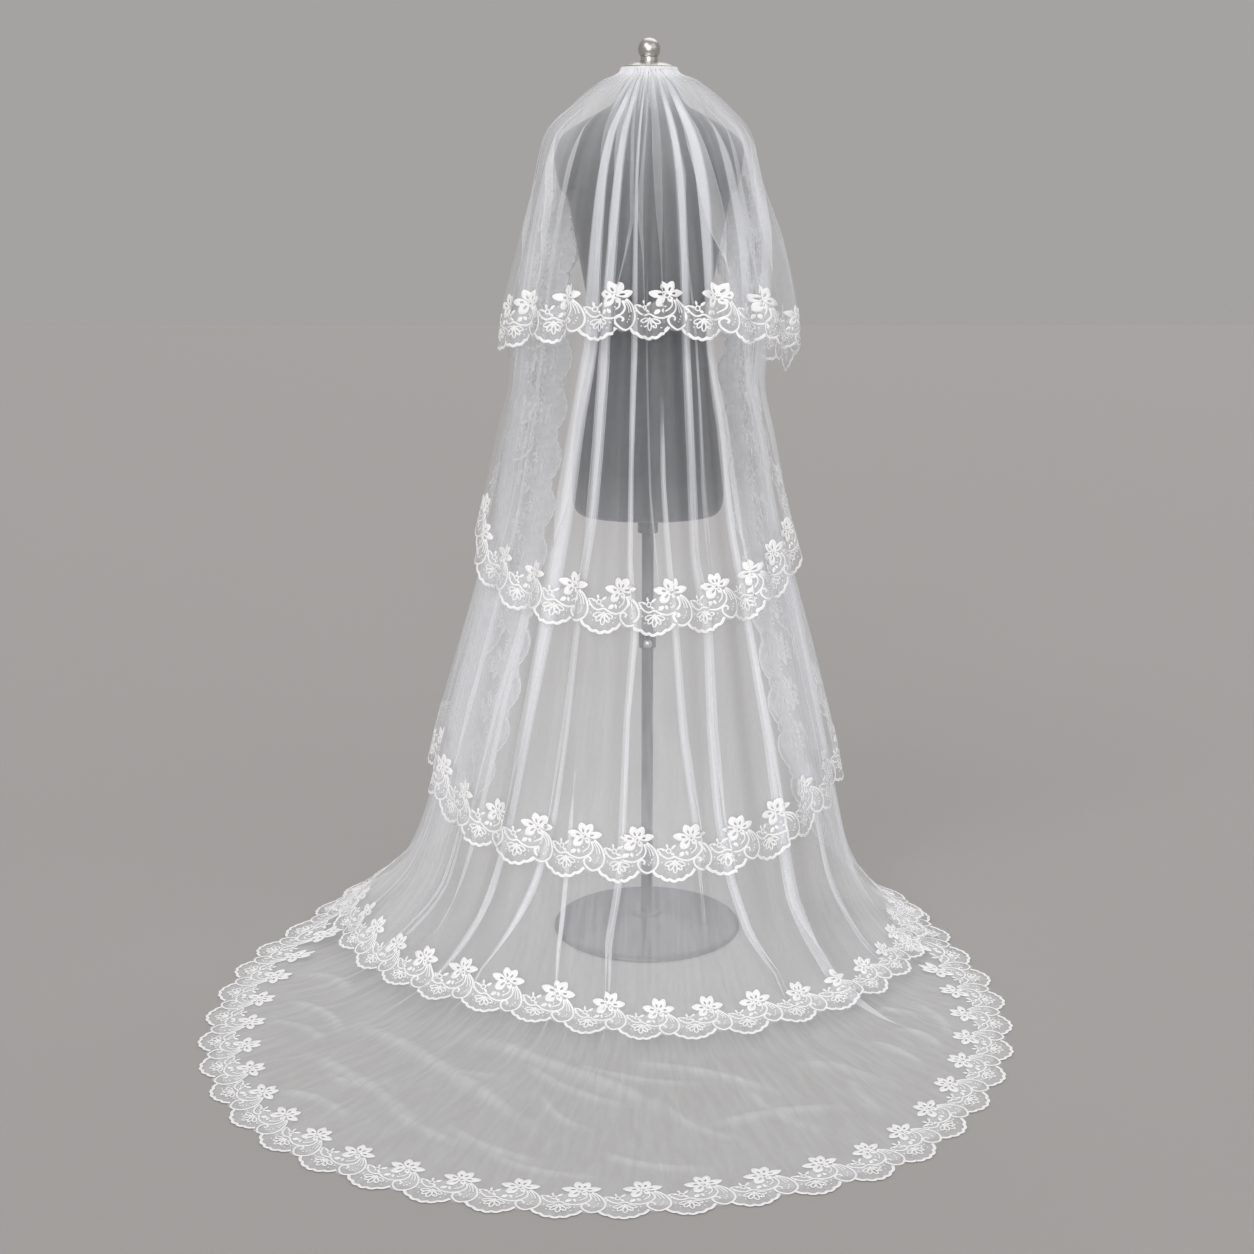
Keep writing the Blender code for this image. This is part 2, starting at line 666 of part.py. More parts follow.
def add_tiers(parent, tulle, lace):
    for number in TIER_EDGES:
        tier = Tier(number)
        curve = edge_curve(number)
        places, triangles = tulle_panel(curve)
        data = wall_mesh(f"tulle_tier_{number}", tier, places, triangles, TULLE_WALL)
        add_object(f"tulle_tier_{number}", data, tulle, parent)
        places, triangles = lace_band(curve)
        data = wall_mesh(f"lace_tier_{number}", tier, places, triangles, LACE_WALL)
        add_object(f"lace_tier_{number}", data, lace, parent)


def loft(name, rings):
    """A closed body through rings of equal point counts, capped flat at both ends."""
    mesh = bmesh.new()
    loops = [[mesh.verts.new(point) for point in ring] for ring in rings]
    for low, high in zip(loops, loops[1:]):
        for index in range(len(low)):
            after = (index + 1) % len(low)
            mesh.faces.new((low[index], low[after], high[after], high[index]))
    mesh.faces.new(loops[0][::-1])
    mesh.faces.new(loops[-1])
    bmesh.ops.recalc_face_normals(mesh, faces=mesh.faces)
    data = bpy.data.meshes.new(name)
    mesh.to_mesh(data)
    mesh.free()
    data.shade_smooth()
    data.set_sharp_from_angle(angle=math.radians(SMOOTH_ANGLE))
    return data


def add_heading(parent, look):
    """A curved strip behind the neck cap, round on top, flat where the tiers butt against it."""
    inner_radius = CAP_RIM + SEAT_GAP
    foot = DRAPE[0].height + SEAT_GAP
    half = HEADING_THICKNESS / 2.0
    straight = HEADING_HEIGHT - half
    section = [(0.0, 0.0)]
    for step in range(HEADING_ROUND_STEPS + 1):
        turn = math.pi * step / HEADING_ROUND_STEPS
        section.append((half - half * math.cos(turn), straight + half * math.sin(turn)))
    section.append((HEADING_THICKNESS, 0.0))
    rings = []
    for step in range(HEADING_STEPS + 1):
        turn = math.radians(HEADING_TURN * (2.0 * step / HEADING_STEPS - 1.0))
        ring = []
        for out, up in section:
            reach = inner_radius + out
            ring.append(Vector((reach * math.sin(turn), -reach * math.cos(turn), foot + up)))
        rings.append(ring)
    add_object("heading", loft("heading", rings), look, parent)


def add_torso(parent, look):
    rings = []
    for girth in TORSO:
        ring = []
        for step in range(TORSO_STEPS):
            turn = math.tau * step / TORSO_STEPS
            depth = girth.back if math.cos(turn) > 0.0 else girth.front
            ring.append(Vector((girth.side * math.sin(turn), -depth * math.cos(turn), girth.height)))
        rings.append(ring)
    add_object("form_torso", loft("form_torso", rings), look, parent)


def add_turned(name, profile, look, parent):
    """A turned body, its profile running from the axis at the top down to the axis at the foot."""
    data = bpy.data.meshes.new(name)
    corners = [(turn.radius, 0.0, turn.height) for turn in profile]
    data.from_pydata(corners, [(i, i + 1) for i in range(len(corners) - 1)], [])
    made = add_object(name, data, look, parent)
    screw = made.modifiers.new("Screw", "SCREW")
    screw.steps = ROUND_STEPS
    screw.render_steps = ROUND_STEPS
    screw.use_merge_vertices = True
    screw.merge_threshold = WELD_REACH
    screw.use_smooth_shade = True
    return made


def finial_profile():
    """The ball over its stem."""
    profile = []
    foot_turn = math.asin(BALL_FOOT_RADIUS / BALL_RADIUS)
    for step in range(BALL_STEPS + 1):
        turn = (math.pi - foot_turn) * step / BALL_STEPS
        profile.append(Turn(BALL_RADIUS * math.sin(turn), BALL_HEIGHT + BALL_RADIUS * math.cos(turn)))
    foot = CAP_TOP + SEAT_GAP
    profile.append(Turn(STEM_RADIUS, profile[-1].height))
    profile.append(Turn(STEM_RADIUS, foot))
    profile.append(Turn(0.0, foot))
    return profile


def sleeve(name, inner, outer, foot, height):
    """A plain ring that slides on the pole."""
    rings = []
    for radius, level in ((inner, foot), (outer, foot), (outer, foot + height), (inner, foot + height)):
        ring = []
        for step in range(ROUND_STEPS):
            turn = math.tau * step / ROUND_STEPS
            ring.append(Vector((radius * math.cos(turn), radius * math.sin(turn), level)))
        rings.append(ring)
    mesh = bmesh.new()
    loops = [[mesh.verts.new(point) for point in ring] for ring in rings]
    for low, high in zip(loops, loops[1:] + loops[:1]):
        for index in range(ROUND_STEPS):
            after = (index + 1) % ROUND_STEPS
            mesh.faces.new((low[index], low[after], high[after], high[index]))
    bmesh.ops.recalc_face_normals(mesh, faces=mesh.faces)
    data = bpy.data.meshes.new(name)
    mesh.to_mesh(data)
    mesh.free()
    return data


def add_stand(parent, metal, dark):
    add_turned("neck_cap", NECK_CAP, metal, parent)
    add_turned("finial", finial_profile(), metal, parent)
    add_turned("stand_base", STAND_FOOT, dark, parent)
    pole_foot = STAND_FOOT[0].height + SEAT_GAP
    pole = [
        Turn(0.0, COLLAR_TOP), Turn(POLE_RADIUS, COLLAR_TOP), Turn(POLE_RADIUS, pole_foot),
        Turn(0.0, pole_foot),
    ]
    add_turned("pole", pole, dark, parent)
    bore = POLE_RADIUS + SEAT_GAP
    collar = sleeve("pole_collar", bore, COLLAR_RADIUS, COLLAR_TOP - COLLAR_HEIGHT, COLLAR_HEIGHT)
    add_object("pole_collar", collar, dark, parent)
    clamp = sleeve("height_clamp", bore, CLAMP_RADIUS, CLAMP_FOOT, CLAMP_HEIGHT)
    add_object("height_clamp", clamp, dark, parent)
    add_knob(parent, metal)


def add_knob(parent, look):
    """The clamping screw's knob, lying along -Y against the clamp."""
    profile = [
        Turn(0.0, KNOB_STEM_LENGTH + KNOB_LENGTH),
        Turn(KNOB_RADIUS, KNOB_STEM_LENGTH + KNOB_LENGTH),
        Turn(KNOB_RADIUS, KNOB_STEM_LENGTH),
        Turn(KNOB_STEM_RADIUS, KNOB_STEM_LENGTH),
        Turn(KNOB_STEM_RADIUS, 0.0),
        Turn(0.0, 0.0),
    ]
    knob = add_turned("clamp_knob", profile, look, parent)
    knob.location = (0.0, -CLAMP_RADIUS - SEAT_GAP, CLAMP_FOOT + CLAMP_HEIGHT / 2.0)
    knob.rotation_euler = (math.radians(90.0), 0.0, 0.0)


for old in list(bpy.data.objects):
    bpy.data.objects.remove(old, do_unlink=True)
PART = bpy.data.collections.new("bridal_veil_on_dress_form")
bpy.context.scene.collection.children.link(PART)
ORIGIN = bpy.data.objects.new("veil_origin", None)
PART.objects.link(ORIGIN)

TULLE = material("white_tulle", (0.90, 0.90, 0.92), 0.75)
LACE = material("white_lace", (0.97, 0.97, 0.97), 0.65)
JERSEY = material("grey_jersey", (0.115, 0.12, 0.13), 0.9)
METAL = material("brushed_metal", (0.62, 0.60, 0.57), 0.32, 1.0)
DARK = material("dark_enamel", (0.05, 0.052, 0.055), 0.45)

add_torso(ORIGIN, JERSEY)
add_stand(ORIGIN, METAL, DARK)
add_heading(ORIGIN, TULLE)
add_tiers(ORIGIN, TULLE, LACE)
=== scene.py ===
"""The looks of a five-tier bridal veil with lace edging, on a limbless dress form seen from behind."""

import math
from collections import namedtuple

import bpy
import numpy as np
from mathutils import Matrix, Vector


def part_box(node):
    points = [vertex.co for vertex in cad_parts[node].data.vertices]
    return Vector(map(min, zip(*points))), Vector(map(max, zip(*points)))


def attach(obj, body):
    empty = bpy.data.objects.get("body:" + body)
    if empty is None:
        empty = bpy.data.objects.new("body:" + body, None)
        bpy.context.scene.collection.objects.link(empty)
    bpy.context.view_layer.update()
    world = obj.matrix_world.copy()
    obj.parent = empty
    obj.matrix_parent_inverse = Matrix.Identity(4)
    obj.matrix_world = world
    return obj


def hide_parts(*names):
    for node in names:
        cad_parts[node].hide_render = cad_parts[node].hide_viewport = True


MM = 0.001
BODY = "root"

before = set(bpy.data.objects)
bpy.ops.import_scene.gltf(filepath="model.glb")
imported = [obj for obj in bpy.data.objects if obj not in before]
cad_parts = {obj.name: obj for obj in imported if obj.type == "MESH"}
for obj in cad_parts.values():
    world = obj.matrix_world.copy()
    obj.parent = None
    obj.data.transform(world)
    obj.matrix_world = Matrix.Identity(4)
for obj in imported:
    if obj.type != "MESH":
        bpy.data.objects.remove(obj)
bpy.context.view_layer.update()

# ---------------------------------------------------------------------------------------------
# The draped surface: the same rings, spacings and edges as the solids.
Ring = namedtuple("Ring", "height left right back front wrap squareness")
DRAPE = (
    Ring(1.5965, 0.0460, 0.0460, 0.0460, 0.0460, 0.55, 2.0),
    Ring(1.577, 0.074, 0.076, 0.060, 0.066, 0.72, 2.0),
    Ring(1.538, 0.124, 0.126, 0.080, 0.100, 0.88, 2.0),
    Ring(1.489, 0.1705, 0.1705, 0.102, 0.130, 0.97, 2.1),
    Ring(1.415, 0.186, 0.186, 0.123, 0.150, 1.0, 2.1),
    Ring(1.300, 0.204, 0.203, 0.145, 0.163, 1.0, 2.1),
    Ring(1.134, 0.220, 0.190, 0.172, 0.175, 1.0, 2.0),
    Ring(1.050, 0.222, 0.180, 0.188, 0.186, 1.0, 2.0),
    Ring(0.960, 0.238, 0.193, 0.204, 0.200, 1.0, 2.0),
    Ring(0.830, 0.259, 0.215, 0.226, 0.222, 1.0, 2.0),
    Ring(0.690, 0.293, 0.252, 0.262, 0.252, 1.0, 2.0),
    Ring(0.500, 0.341, 0.297, 0.300, 0.290, 1.0, 2.0),
    Ring(0.300, 0.392, 0.342, 0.342, 0.335, 1.0, 2.0),
    Ring(0.154, 0.448, 0.382, 0.385, 0.380, 1.0, 2.0),
    Ring(0.075, 0.520, 0.425, 0.430, 0.420, 1.0, 2.0),
    Ring(0.022, 0.590, 0.480, 0.485, 0.470, 1.0, 2.1),
    Ring(0.000, 0.690, 0.580, 0.580, 0.560, 1.0, 2.2),
    Ring(0.000, 0.820, 0.720, 0.800, 0.700, 1.0, 2.3),
    Ring(0.000, 0.980, 0.900, 1.150, 0.880, 1.0, 2.4),
)
Pleat = namedtuple("Pleat", "azimuth height")
PLEATS = (
    Pleat(-110, 8 * MM), Pleat(-90, 13 * MM), Pleat(-73, 15 * MM), Pleat(-54, 12 * MM),
    Pleat(-38, 18 * MM), Pleat(-22, 12 * MM), Pleat(-6, 15 * MM), Pleat(11, 13 * MM),
    Pleat(27, 14 * MM), Pleat(43, 18 * MM), Pleat(60, 12 * MM), Pleat(78, 15 * MM),
    Pleat(95, 9 * MM), Pleat(112, 6 * MM),
)
FIRST_PLEAT_REACH = -18.0
LAST_PLEAT_REACH = 16.0
PLEAT_FADE = ((0.0, 0.0), (0.10, 0.20), (0.20, 0.35), (0.42, 1.0), (1.25, 1.0), (1.50, 0.45),
              (1.70, 0.25), (1.86, 0.0))
# Depth below the gathers, spacing behind and spacing ahead.
SPACINGS = ((0.0, 1.8, 2.2), (0.10, 1.8, 3.6), (0.15, 1.9, 4.2), (0.22, 2.3, 5.0), (0.60, 5.0, 8.2),
            (1.50, 5.5, 7.2), (1.80, 5.0, 5.5))
AHEAD_START = 85.0
AHEAD_SPREAD = 30.0
FLARE_TURN = 100.0
FLARE_HIGHEST = 0.18
Flare = namedtuple("Flare", "left right back front length")
FLARES = {
    1: Flare(0.020, 0.056, 0.022, 0.020, 0.42),
    2: Flare(0.020, 0.018, 0.014, 0.014, 0.45),
    3: Flare(0.014, 0.014, 0.014, 0.012, 0.45),
    4: Flare(0.006, 0.006, 0.006, 0.006, 0.30),
    5: Flare(0.0, 0.0, 0.0, 0.0, 0.30),
}
Edge = namedtuple("Edge", "azimuth height reach", defaults=(0.0,))
TIER_EDGES = {
    1: (
        Edge(-142, 1.42), Edge(-142, 1.32), Edge(-140, 1.23), Edge(-133, 1.145), Edge(-121, 1.095),
        Edge(-107, 1.09), Edge(-90, 1.115), Edge(-45, 1.14), Edge(0, 1.147), Edge(45, 1.14),
        Edge(90, 1.115), Edge(106, 1.08), Edge(120, 1.085), Edge(133, 1.14), Edge(140, 1.23),
        Edge(142, 1.32), Edge(142, 1.42),
    ),
    2: (
        Edge(-140, 1.42), Edge(-139, 1.20), Edge(-136, 1.04), Edge(-127, 0.93), Edge(-112, 0.835),
        Edge(-90, 0.755), Edge(-60, 0.69), Edge(-30, 0.66), Edge(0, 0.652), Edge(30, 0.66),
        Edge(60, 0.70), Edge(90, 0.745), Edge(111, 0.82), Edge(125, 0.91), Edge(134, 1.03),
        Edge(138, 1.20), Edge(140, 1.42),
    ),
    3: (
        Edge(-138, 1.42), Edge(-137, 1.10), Edge(-134, 0.80), Edge(-129, 0.62), Edge(-119, 0.49),
        Edge(-106, 0.40), Edge(-90, 0.335), Edge(-60, 0.27), Edge(-30, 0.24), Edge(0, 0.234),
        Edge(30, 0.245), Edge(60, 0.29), Edge(90, 0.345), Edge(106, 0.42), Edge(119, 0.52),
        Edge(129, 0.65), Edge(134, 0.82), Edge(136, 1.10), Edge(138, 1.42),
    ),
    4: (
        Edge(-136, 1.42), Edge(-135, 0.90), Edge(-133, 0.50), Edge(-128, 0.28), Edge(-121, 0.14),
        Edge(-112, 0.06), Edge(-100, 0, 0.61), Edge(-80, 0, 0.60), Edge(-56, 0, 0.572),
        Edge(-28, 0, 0.525), Edge(0, 0, 0.531), Edge(28, 0, 0.535), Edge(54, 0, 0.54),
        Edge(82, 0, 0.54), Edge(98, 0, 0.53), Edge(110, 0.05), Edge(119, 0.13), Edge(127, 0.29),
        Edge(133, 0.55), Edge(135, 0.90), Edge(136, 1.42),
    ),
    5: (
        Edge(-134, 1.42), Edge(-134, 0.90), Edge(-132, 0.50), Edge(-128, 0.25), Edge(-121, 0.10),
        Edge(-112, 0.032), Edge(-101, 0, 0.635), Edge(-90, 0, 0.68), Edge(-79, 0, 0.76),
        Edge(-66, 0, 0.845), Edge(-53, 0, 0.94), Edge(-38, 0, 1.02), Edge(-20, 0, 1.055),
        Edge(-3, 0, 1.047), Edge(12, 0, 1.014), Edge(23, 0, 0.985), Edge(35, 0, 0.905),
        Edge(48, 0, 0.815), Edge(62, 0, 0.715), Edge(78, 0, 0.61), Edge(94, 0, 0.555),
        Edge(105, 0.022), Edge(114, 0.05), Edge(122, 0.13), Edge(128, 0.28), Edge(132, 0.60),
        Edge(134, 1.00), Edge(134, 1.42),
    ),
}
WALL = 1.2 * MM

RING_LEVELS = np.concatenate([[0.0], np.cumsum([
    math.hypot(b.back - a.back, b.height - a.height) for a, b in zip(DRAPE, DRAPE[1:])])])


def monotone_slopes(values):
    rates = np.diff(values) / np.diff(RING_LEVELS)
    slopes = [rates[0]]
    for before, after in zip(rates, rates[1:]):
        slopes.append(2.0 * before * after / (before + after) if before * after > 0.0 else 0.0)
    return np.array(slopes + [rates[-1]])


RINGS = {name: np.array([getattr(ring, name) for ring in DRAPE]) for name in Ring._fields}
SLOPES = {name: monotone_slopes(values) for name, values in RINGS.items()}


def ring_value(name, level):
    values, slopes = RINGS[name], SLOPES[name]
    index = np.clip(np.searchsorted(RING_LEVELS, level) - 1, 0, len(RING_LEVELS) - 2)
    step = RING_LEVELS[index + 1] - RING_LEVELS[index]
    share = np.clip((level - RING_LEVELS[index]) / step, 0.0, 1.0)
    rest = 1.0 - share
    return (values[index] * rest * rest * (1.0 + 2.0 * share)
            + values[index + 1] * share * share * (3.0 - 2.0 * share)
            + slopes[index] * step * share * rest * rest
            - slopes[index + 1] * step * share * share * rest)


def smooth_step(value):
    value = np.clip(value, 0.0, 1.0)
    return value * value * (3.0 - 2.0 * value)


def ring_reach(azimuth, level):
    turn = np.radians(azimuth * ring_value("wrap", level))
    sideways = np.where(turn > 0.0, ring_value("right", level), ring_value("left", level))
    lengthways = np.where(np.cos(turn) > 0.0, ring_value("back", level), ring_value("front", level))
    power = ring_value("squareness", level)
    share = (np.abs(np.sin(turn)) / sideways) ** power + (np.abs(np.cos(turn)) / lengthways) ** power
    return share ** (-1.0 / power), turn


def smooth_point(azimuth, level):
    azimuth, level = np.broadcast_arrays(np.asarray(azimuth, float), np.asarray(level, float))
    reach, turn = ring_reach(azimuth, level)
    return np.stack([reach * np.sin(turn), -reach * np.cos(turn), ring_value("height", level)], axis=-1)


def unit(vectors):
    return vectors / np.maximum(np.linalg.norm(vectors, axis=-1, keepdims=True), 1e-12)


def smooth_normal(azimuth, level):
    azimuth, level = np.broadcast_arrays(np.asarray(azimuth, float), np.asarray(level, float))
    across = smooth_point(azimuth + 0.5, level) - smooth_point(azimuth - 0.5, level)
    down = smooth_point(azimuth, level + 2.0 * MM) - smooth_point(azimuth, np.maximum(level - 2.0 * MM, 0.0))
    normal = unit(np.cross(down, across))
    normal[..., 2] *= smooth_step(level / 0.045)
    return unit(normal)


def edge_levels(edges):
    low = np.zeros(len(edges))
    high = np.full(len(edges), RING_LEVELS[-1])
    azimuth = np.array([edge.azimuth for edge in edges], float)
    height = np.array([edge.height for edge in edges])
    reach = np.array([edge.reach for edge in edges])
    for _ in range(40):
        middle = (low + high) / 2.0
        above = np.where(reach > 0.0, ring_reach(azimuth, middle)[0] < reach,
                         ring_value("height", middle) > height)
        low = np.where(above, middle, low)
        high = np.where(above, high, middle)
    return azimuth, (low + high) / 2.0


class FreeEdge:
    """A tier's free edge, from the left front over the hem to the right front."""

    def __init__(self, tier):
        self.tier = tier
        azimuth, level = edge_levels(TIER_EDGES[tier])
        keep = np.append(np.diff(azimuth) > 0.0, True)
        self.hem_azimuth, self.hem_level = azimuth[keep], level[keep]
        rows = curve_through(np.stack([azimuth, level], axis=1), 24)
        self.azimuth, self.level = rows[:, 0], rows[:, 1]

    def measure(self):
        steps = np.linalg.norm(np.diff(laid_point(self.tier, self.azimuth, self.level), axis=0), axis=1)
        self.length = np.concatenate([[0.0], np.cumsum(steps)])
        self.total = self.length[-1]
        self.repeats = round(self.total / LACE_REPEAT)

    def at(self, length):
        return np.interp(length, self.length, self.azimuth), np.interp(length, self.length, self.level)

    def inset(self, length, inset):
        """The (azimuth, level) that lies a distance in from the free edge, square to it."""
        azimuth, level = self.at(length)
        normal = smooth_normal(azimuth, level)
        before = laid_point(self.tier, *self.at(np.maximum(length - 6 * MM, 0.0)))
        after = laid_point(self.tier, *self.at(np.minimum(length + 6 * MM, self.total)))
        inward = unit(np.cross(normal, unit(after - before)))
        across = laid_point(self.tier, azimuth + 0.5, level) - laid_point(self.tier, azimuth - 0.5, level)
        above, below = np.maximum(level - 2.0 * MM, 0.0), level + 2.0 * MM
        down = laid_point(self.tier, azimuth, below) - laid_point(self.tier, azimuth, above)
        down = down / (below - above)[..., None]
        square, mixed, plumb = ((p * q).sum(-1) for p, q in ((across, across), (across, down), (down, down)))
        from_across, from_down = (inward * across).sum(-1), (inward * down).sum(-1)
        scale = 1.0 / (square * plumb - mixed * mixed)
        turn = (plumb * from_across - mixed * from_down) * scale
        drop = (square * from_down - mixed * from_across) * scale
        amount = np.minimum(inset, WIDEST_TURN / np.maximum(np.abs(turn), 1.0))
        return azimuth + turn * amount, np.maximum(level + drop * amount, 0.02)


def curve_through(points, smooth, closed=False):
    """Rows of a smooth curve through the given rows."""
    points = np.array(points, float)
    if smooth < 2:
        return points
    if closed:
        padded = np.concatenate([points[-1:], points, points[:2]])
    else:
        padded = np.concatenate([[2 * points[0] - points[1]], points, [2 * points[-1] - points[-2]]])
    rows = []
    for a, b, c, d in zip(padded, padded[1:], padded[2:], padded[3:]):
        t = np.linspace(0.0, 1.0, smooth, endpoint=False)[:, None]
        rows.append(0.5 * (2 * b + (c - a) * t + (2 * a - 5 * b + 4 * c - d) * t * t
                           + (3 * b - a - 3 * c + d) * t ** 3))
    line = np.concatenate(rows)
    return line if closed else np.concatenate([line, points[-1:]])


LACE_REPEAT = 0.099
WIDEST_TURN = 27.0
EDGES = {tier: FreeEdge(tier) for tier in TIER_EDGES}


def tier_offset(tier, azimuth, level):
    levels, behind, ahead = np.array(SPACINGS).T
    ahead_share = smooth_step((np.abs(azimuth) - AHEAD_START) / AHEAD_SPREAD)
    near, far = np.interp(level, levels, behind) * MM, np.interp(level, levels, ahead) * MM
    flare = FLARES[tier]
    turn = np.radians(azimuth)
    side = np.where(azimuth > 0.0, flare.right, flare.left)
    end = np.where(np.cos(turn) > 0.0, flare.back, flare.front)
    amount = end + (side - end) * np.sin(turn) ** 2
    edge = EDGES[tier]
    hem = np.interp(np.clip(azimuth, -FLARE_TURN, FLARE_TURN), edge.hem_azimuth, edge.hem_level)
    start = np.maximum(hem - flare.length, FLARE_HIGHEST)
    spacing = (5 - tier) * (near + (far - near) * ahead_share)
    return spacing + amount * smooth_step((level - start) / (hem - start))


def pleat_height(azimuth, level):
    crests = [pleat.azimuth for pleat in PLEATS]
    height = np.zeros(np.shape(azimuth))
    for index, pleat in enumerate(PLEATS):
        before = (crests[index - 1] - pleat.azimuth) / 2 if index else FIRST_PLEAT_REACH
        after = (crests[index + 1] - pleat.azimuth) / 2 if index + 1 < len(crests) else LAST_PLEAT_REACH
        share = np.where(azimuth < pleat.azimuth, (azimuth - pleat.azimuth) / before,
                         (azimuth - pleat.azimuth) / after)
        ridge = 0.5 + 0.5 * np.cos(math.pi * np.clip(share, 0, 1))
        height = height + pleat.height * np.where(share < 1.0, ridge, 0.0)
    return height * np.interp(level, *np.array(PLEAT_FADE).T)


def laid_point(tier, azimuth, level):
    distance = tier_offset(tier, azimuth, level) + pleat_height(azimuth, level)
    return smooth_point(azimuth, level) + smooth_normal(azimuth, level) * distance[..., None]


for laid_edge in EDGES.values():
    laid_edge.measure()


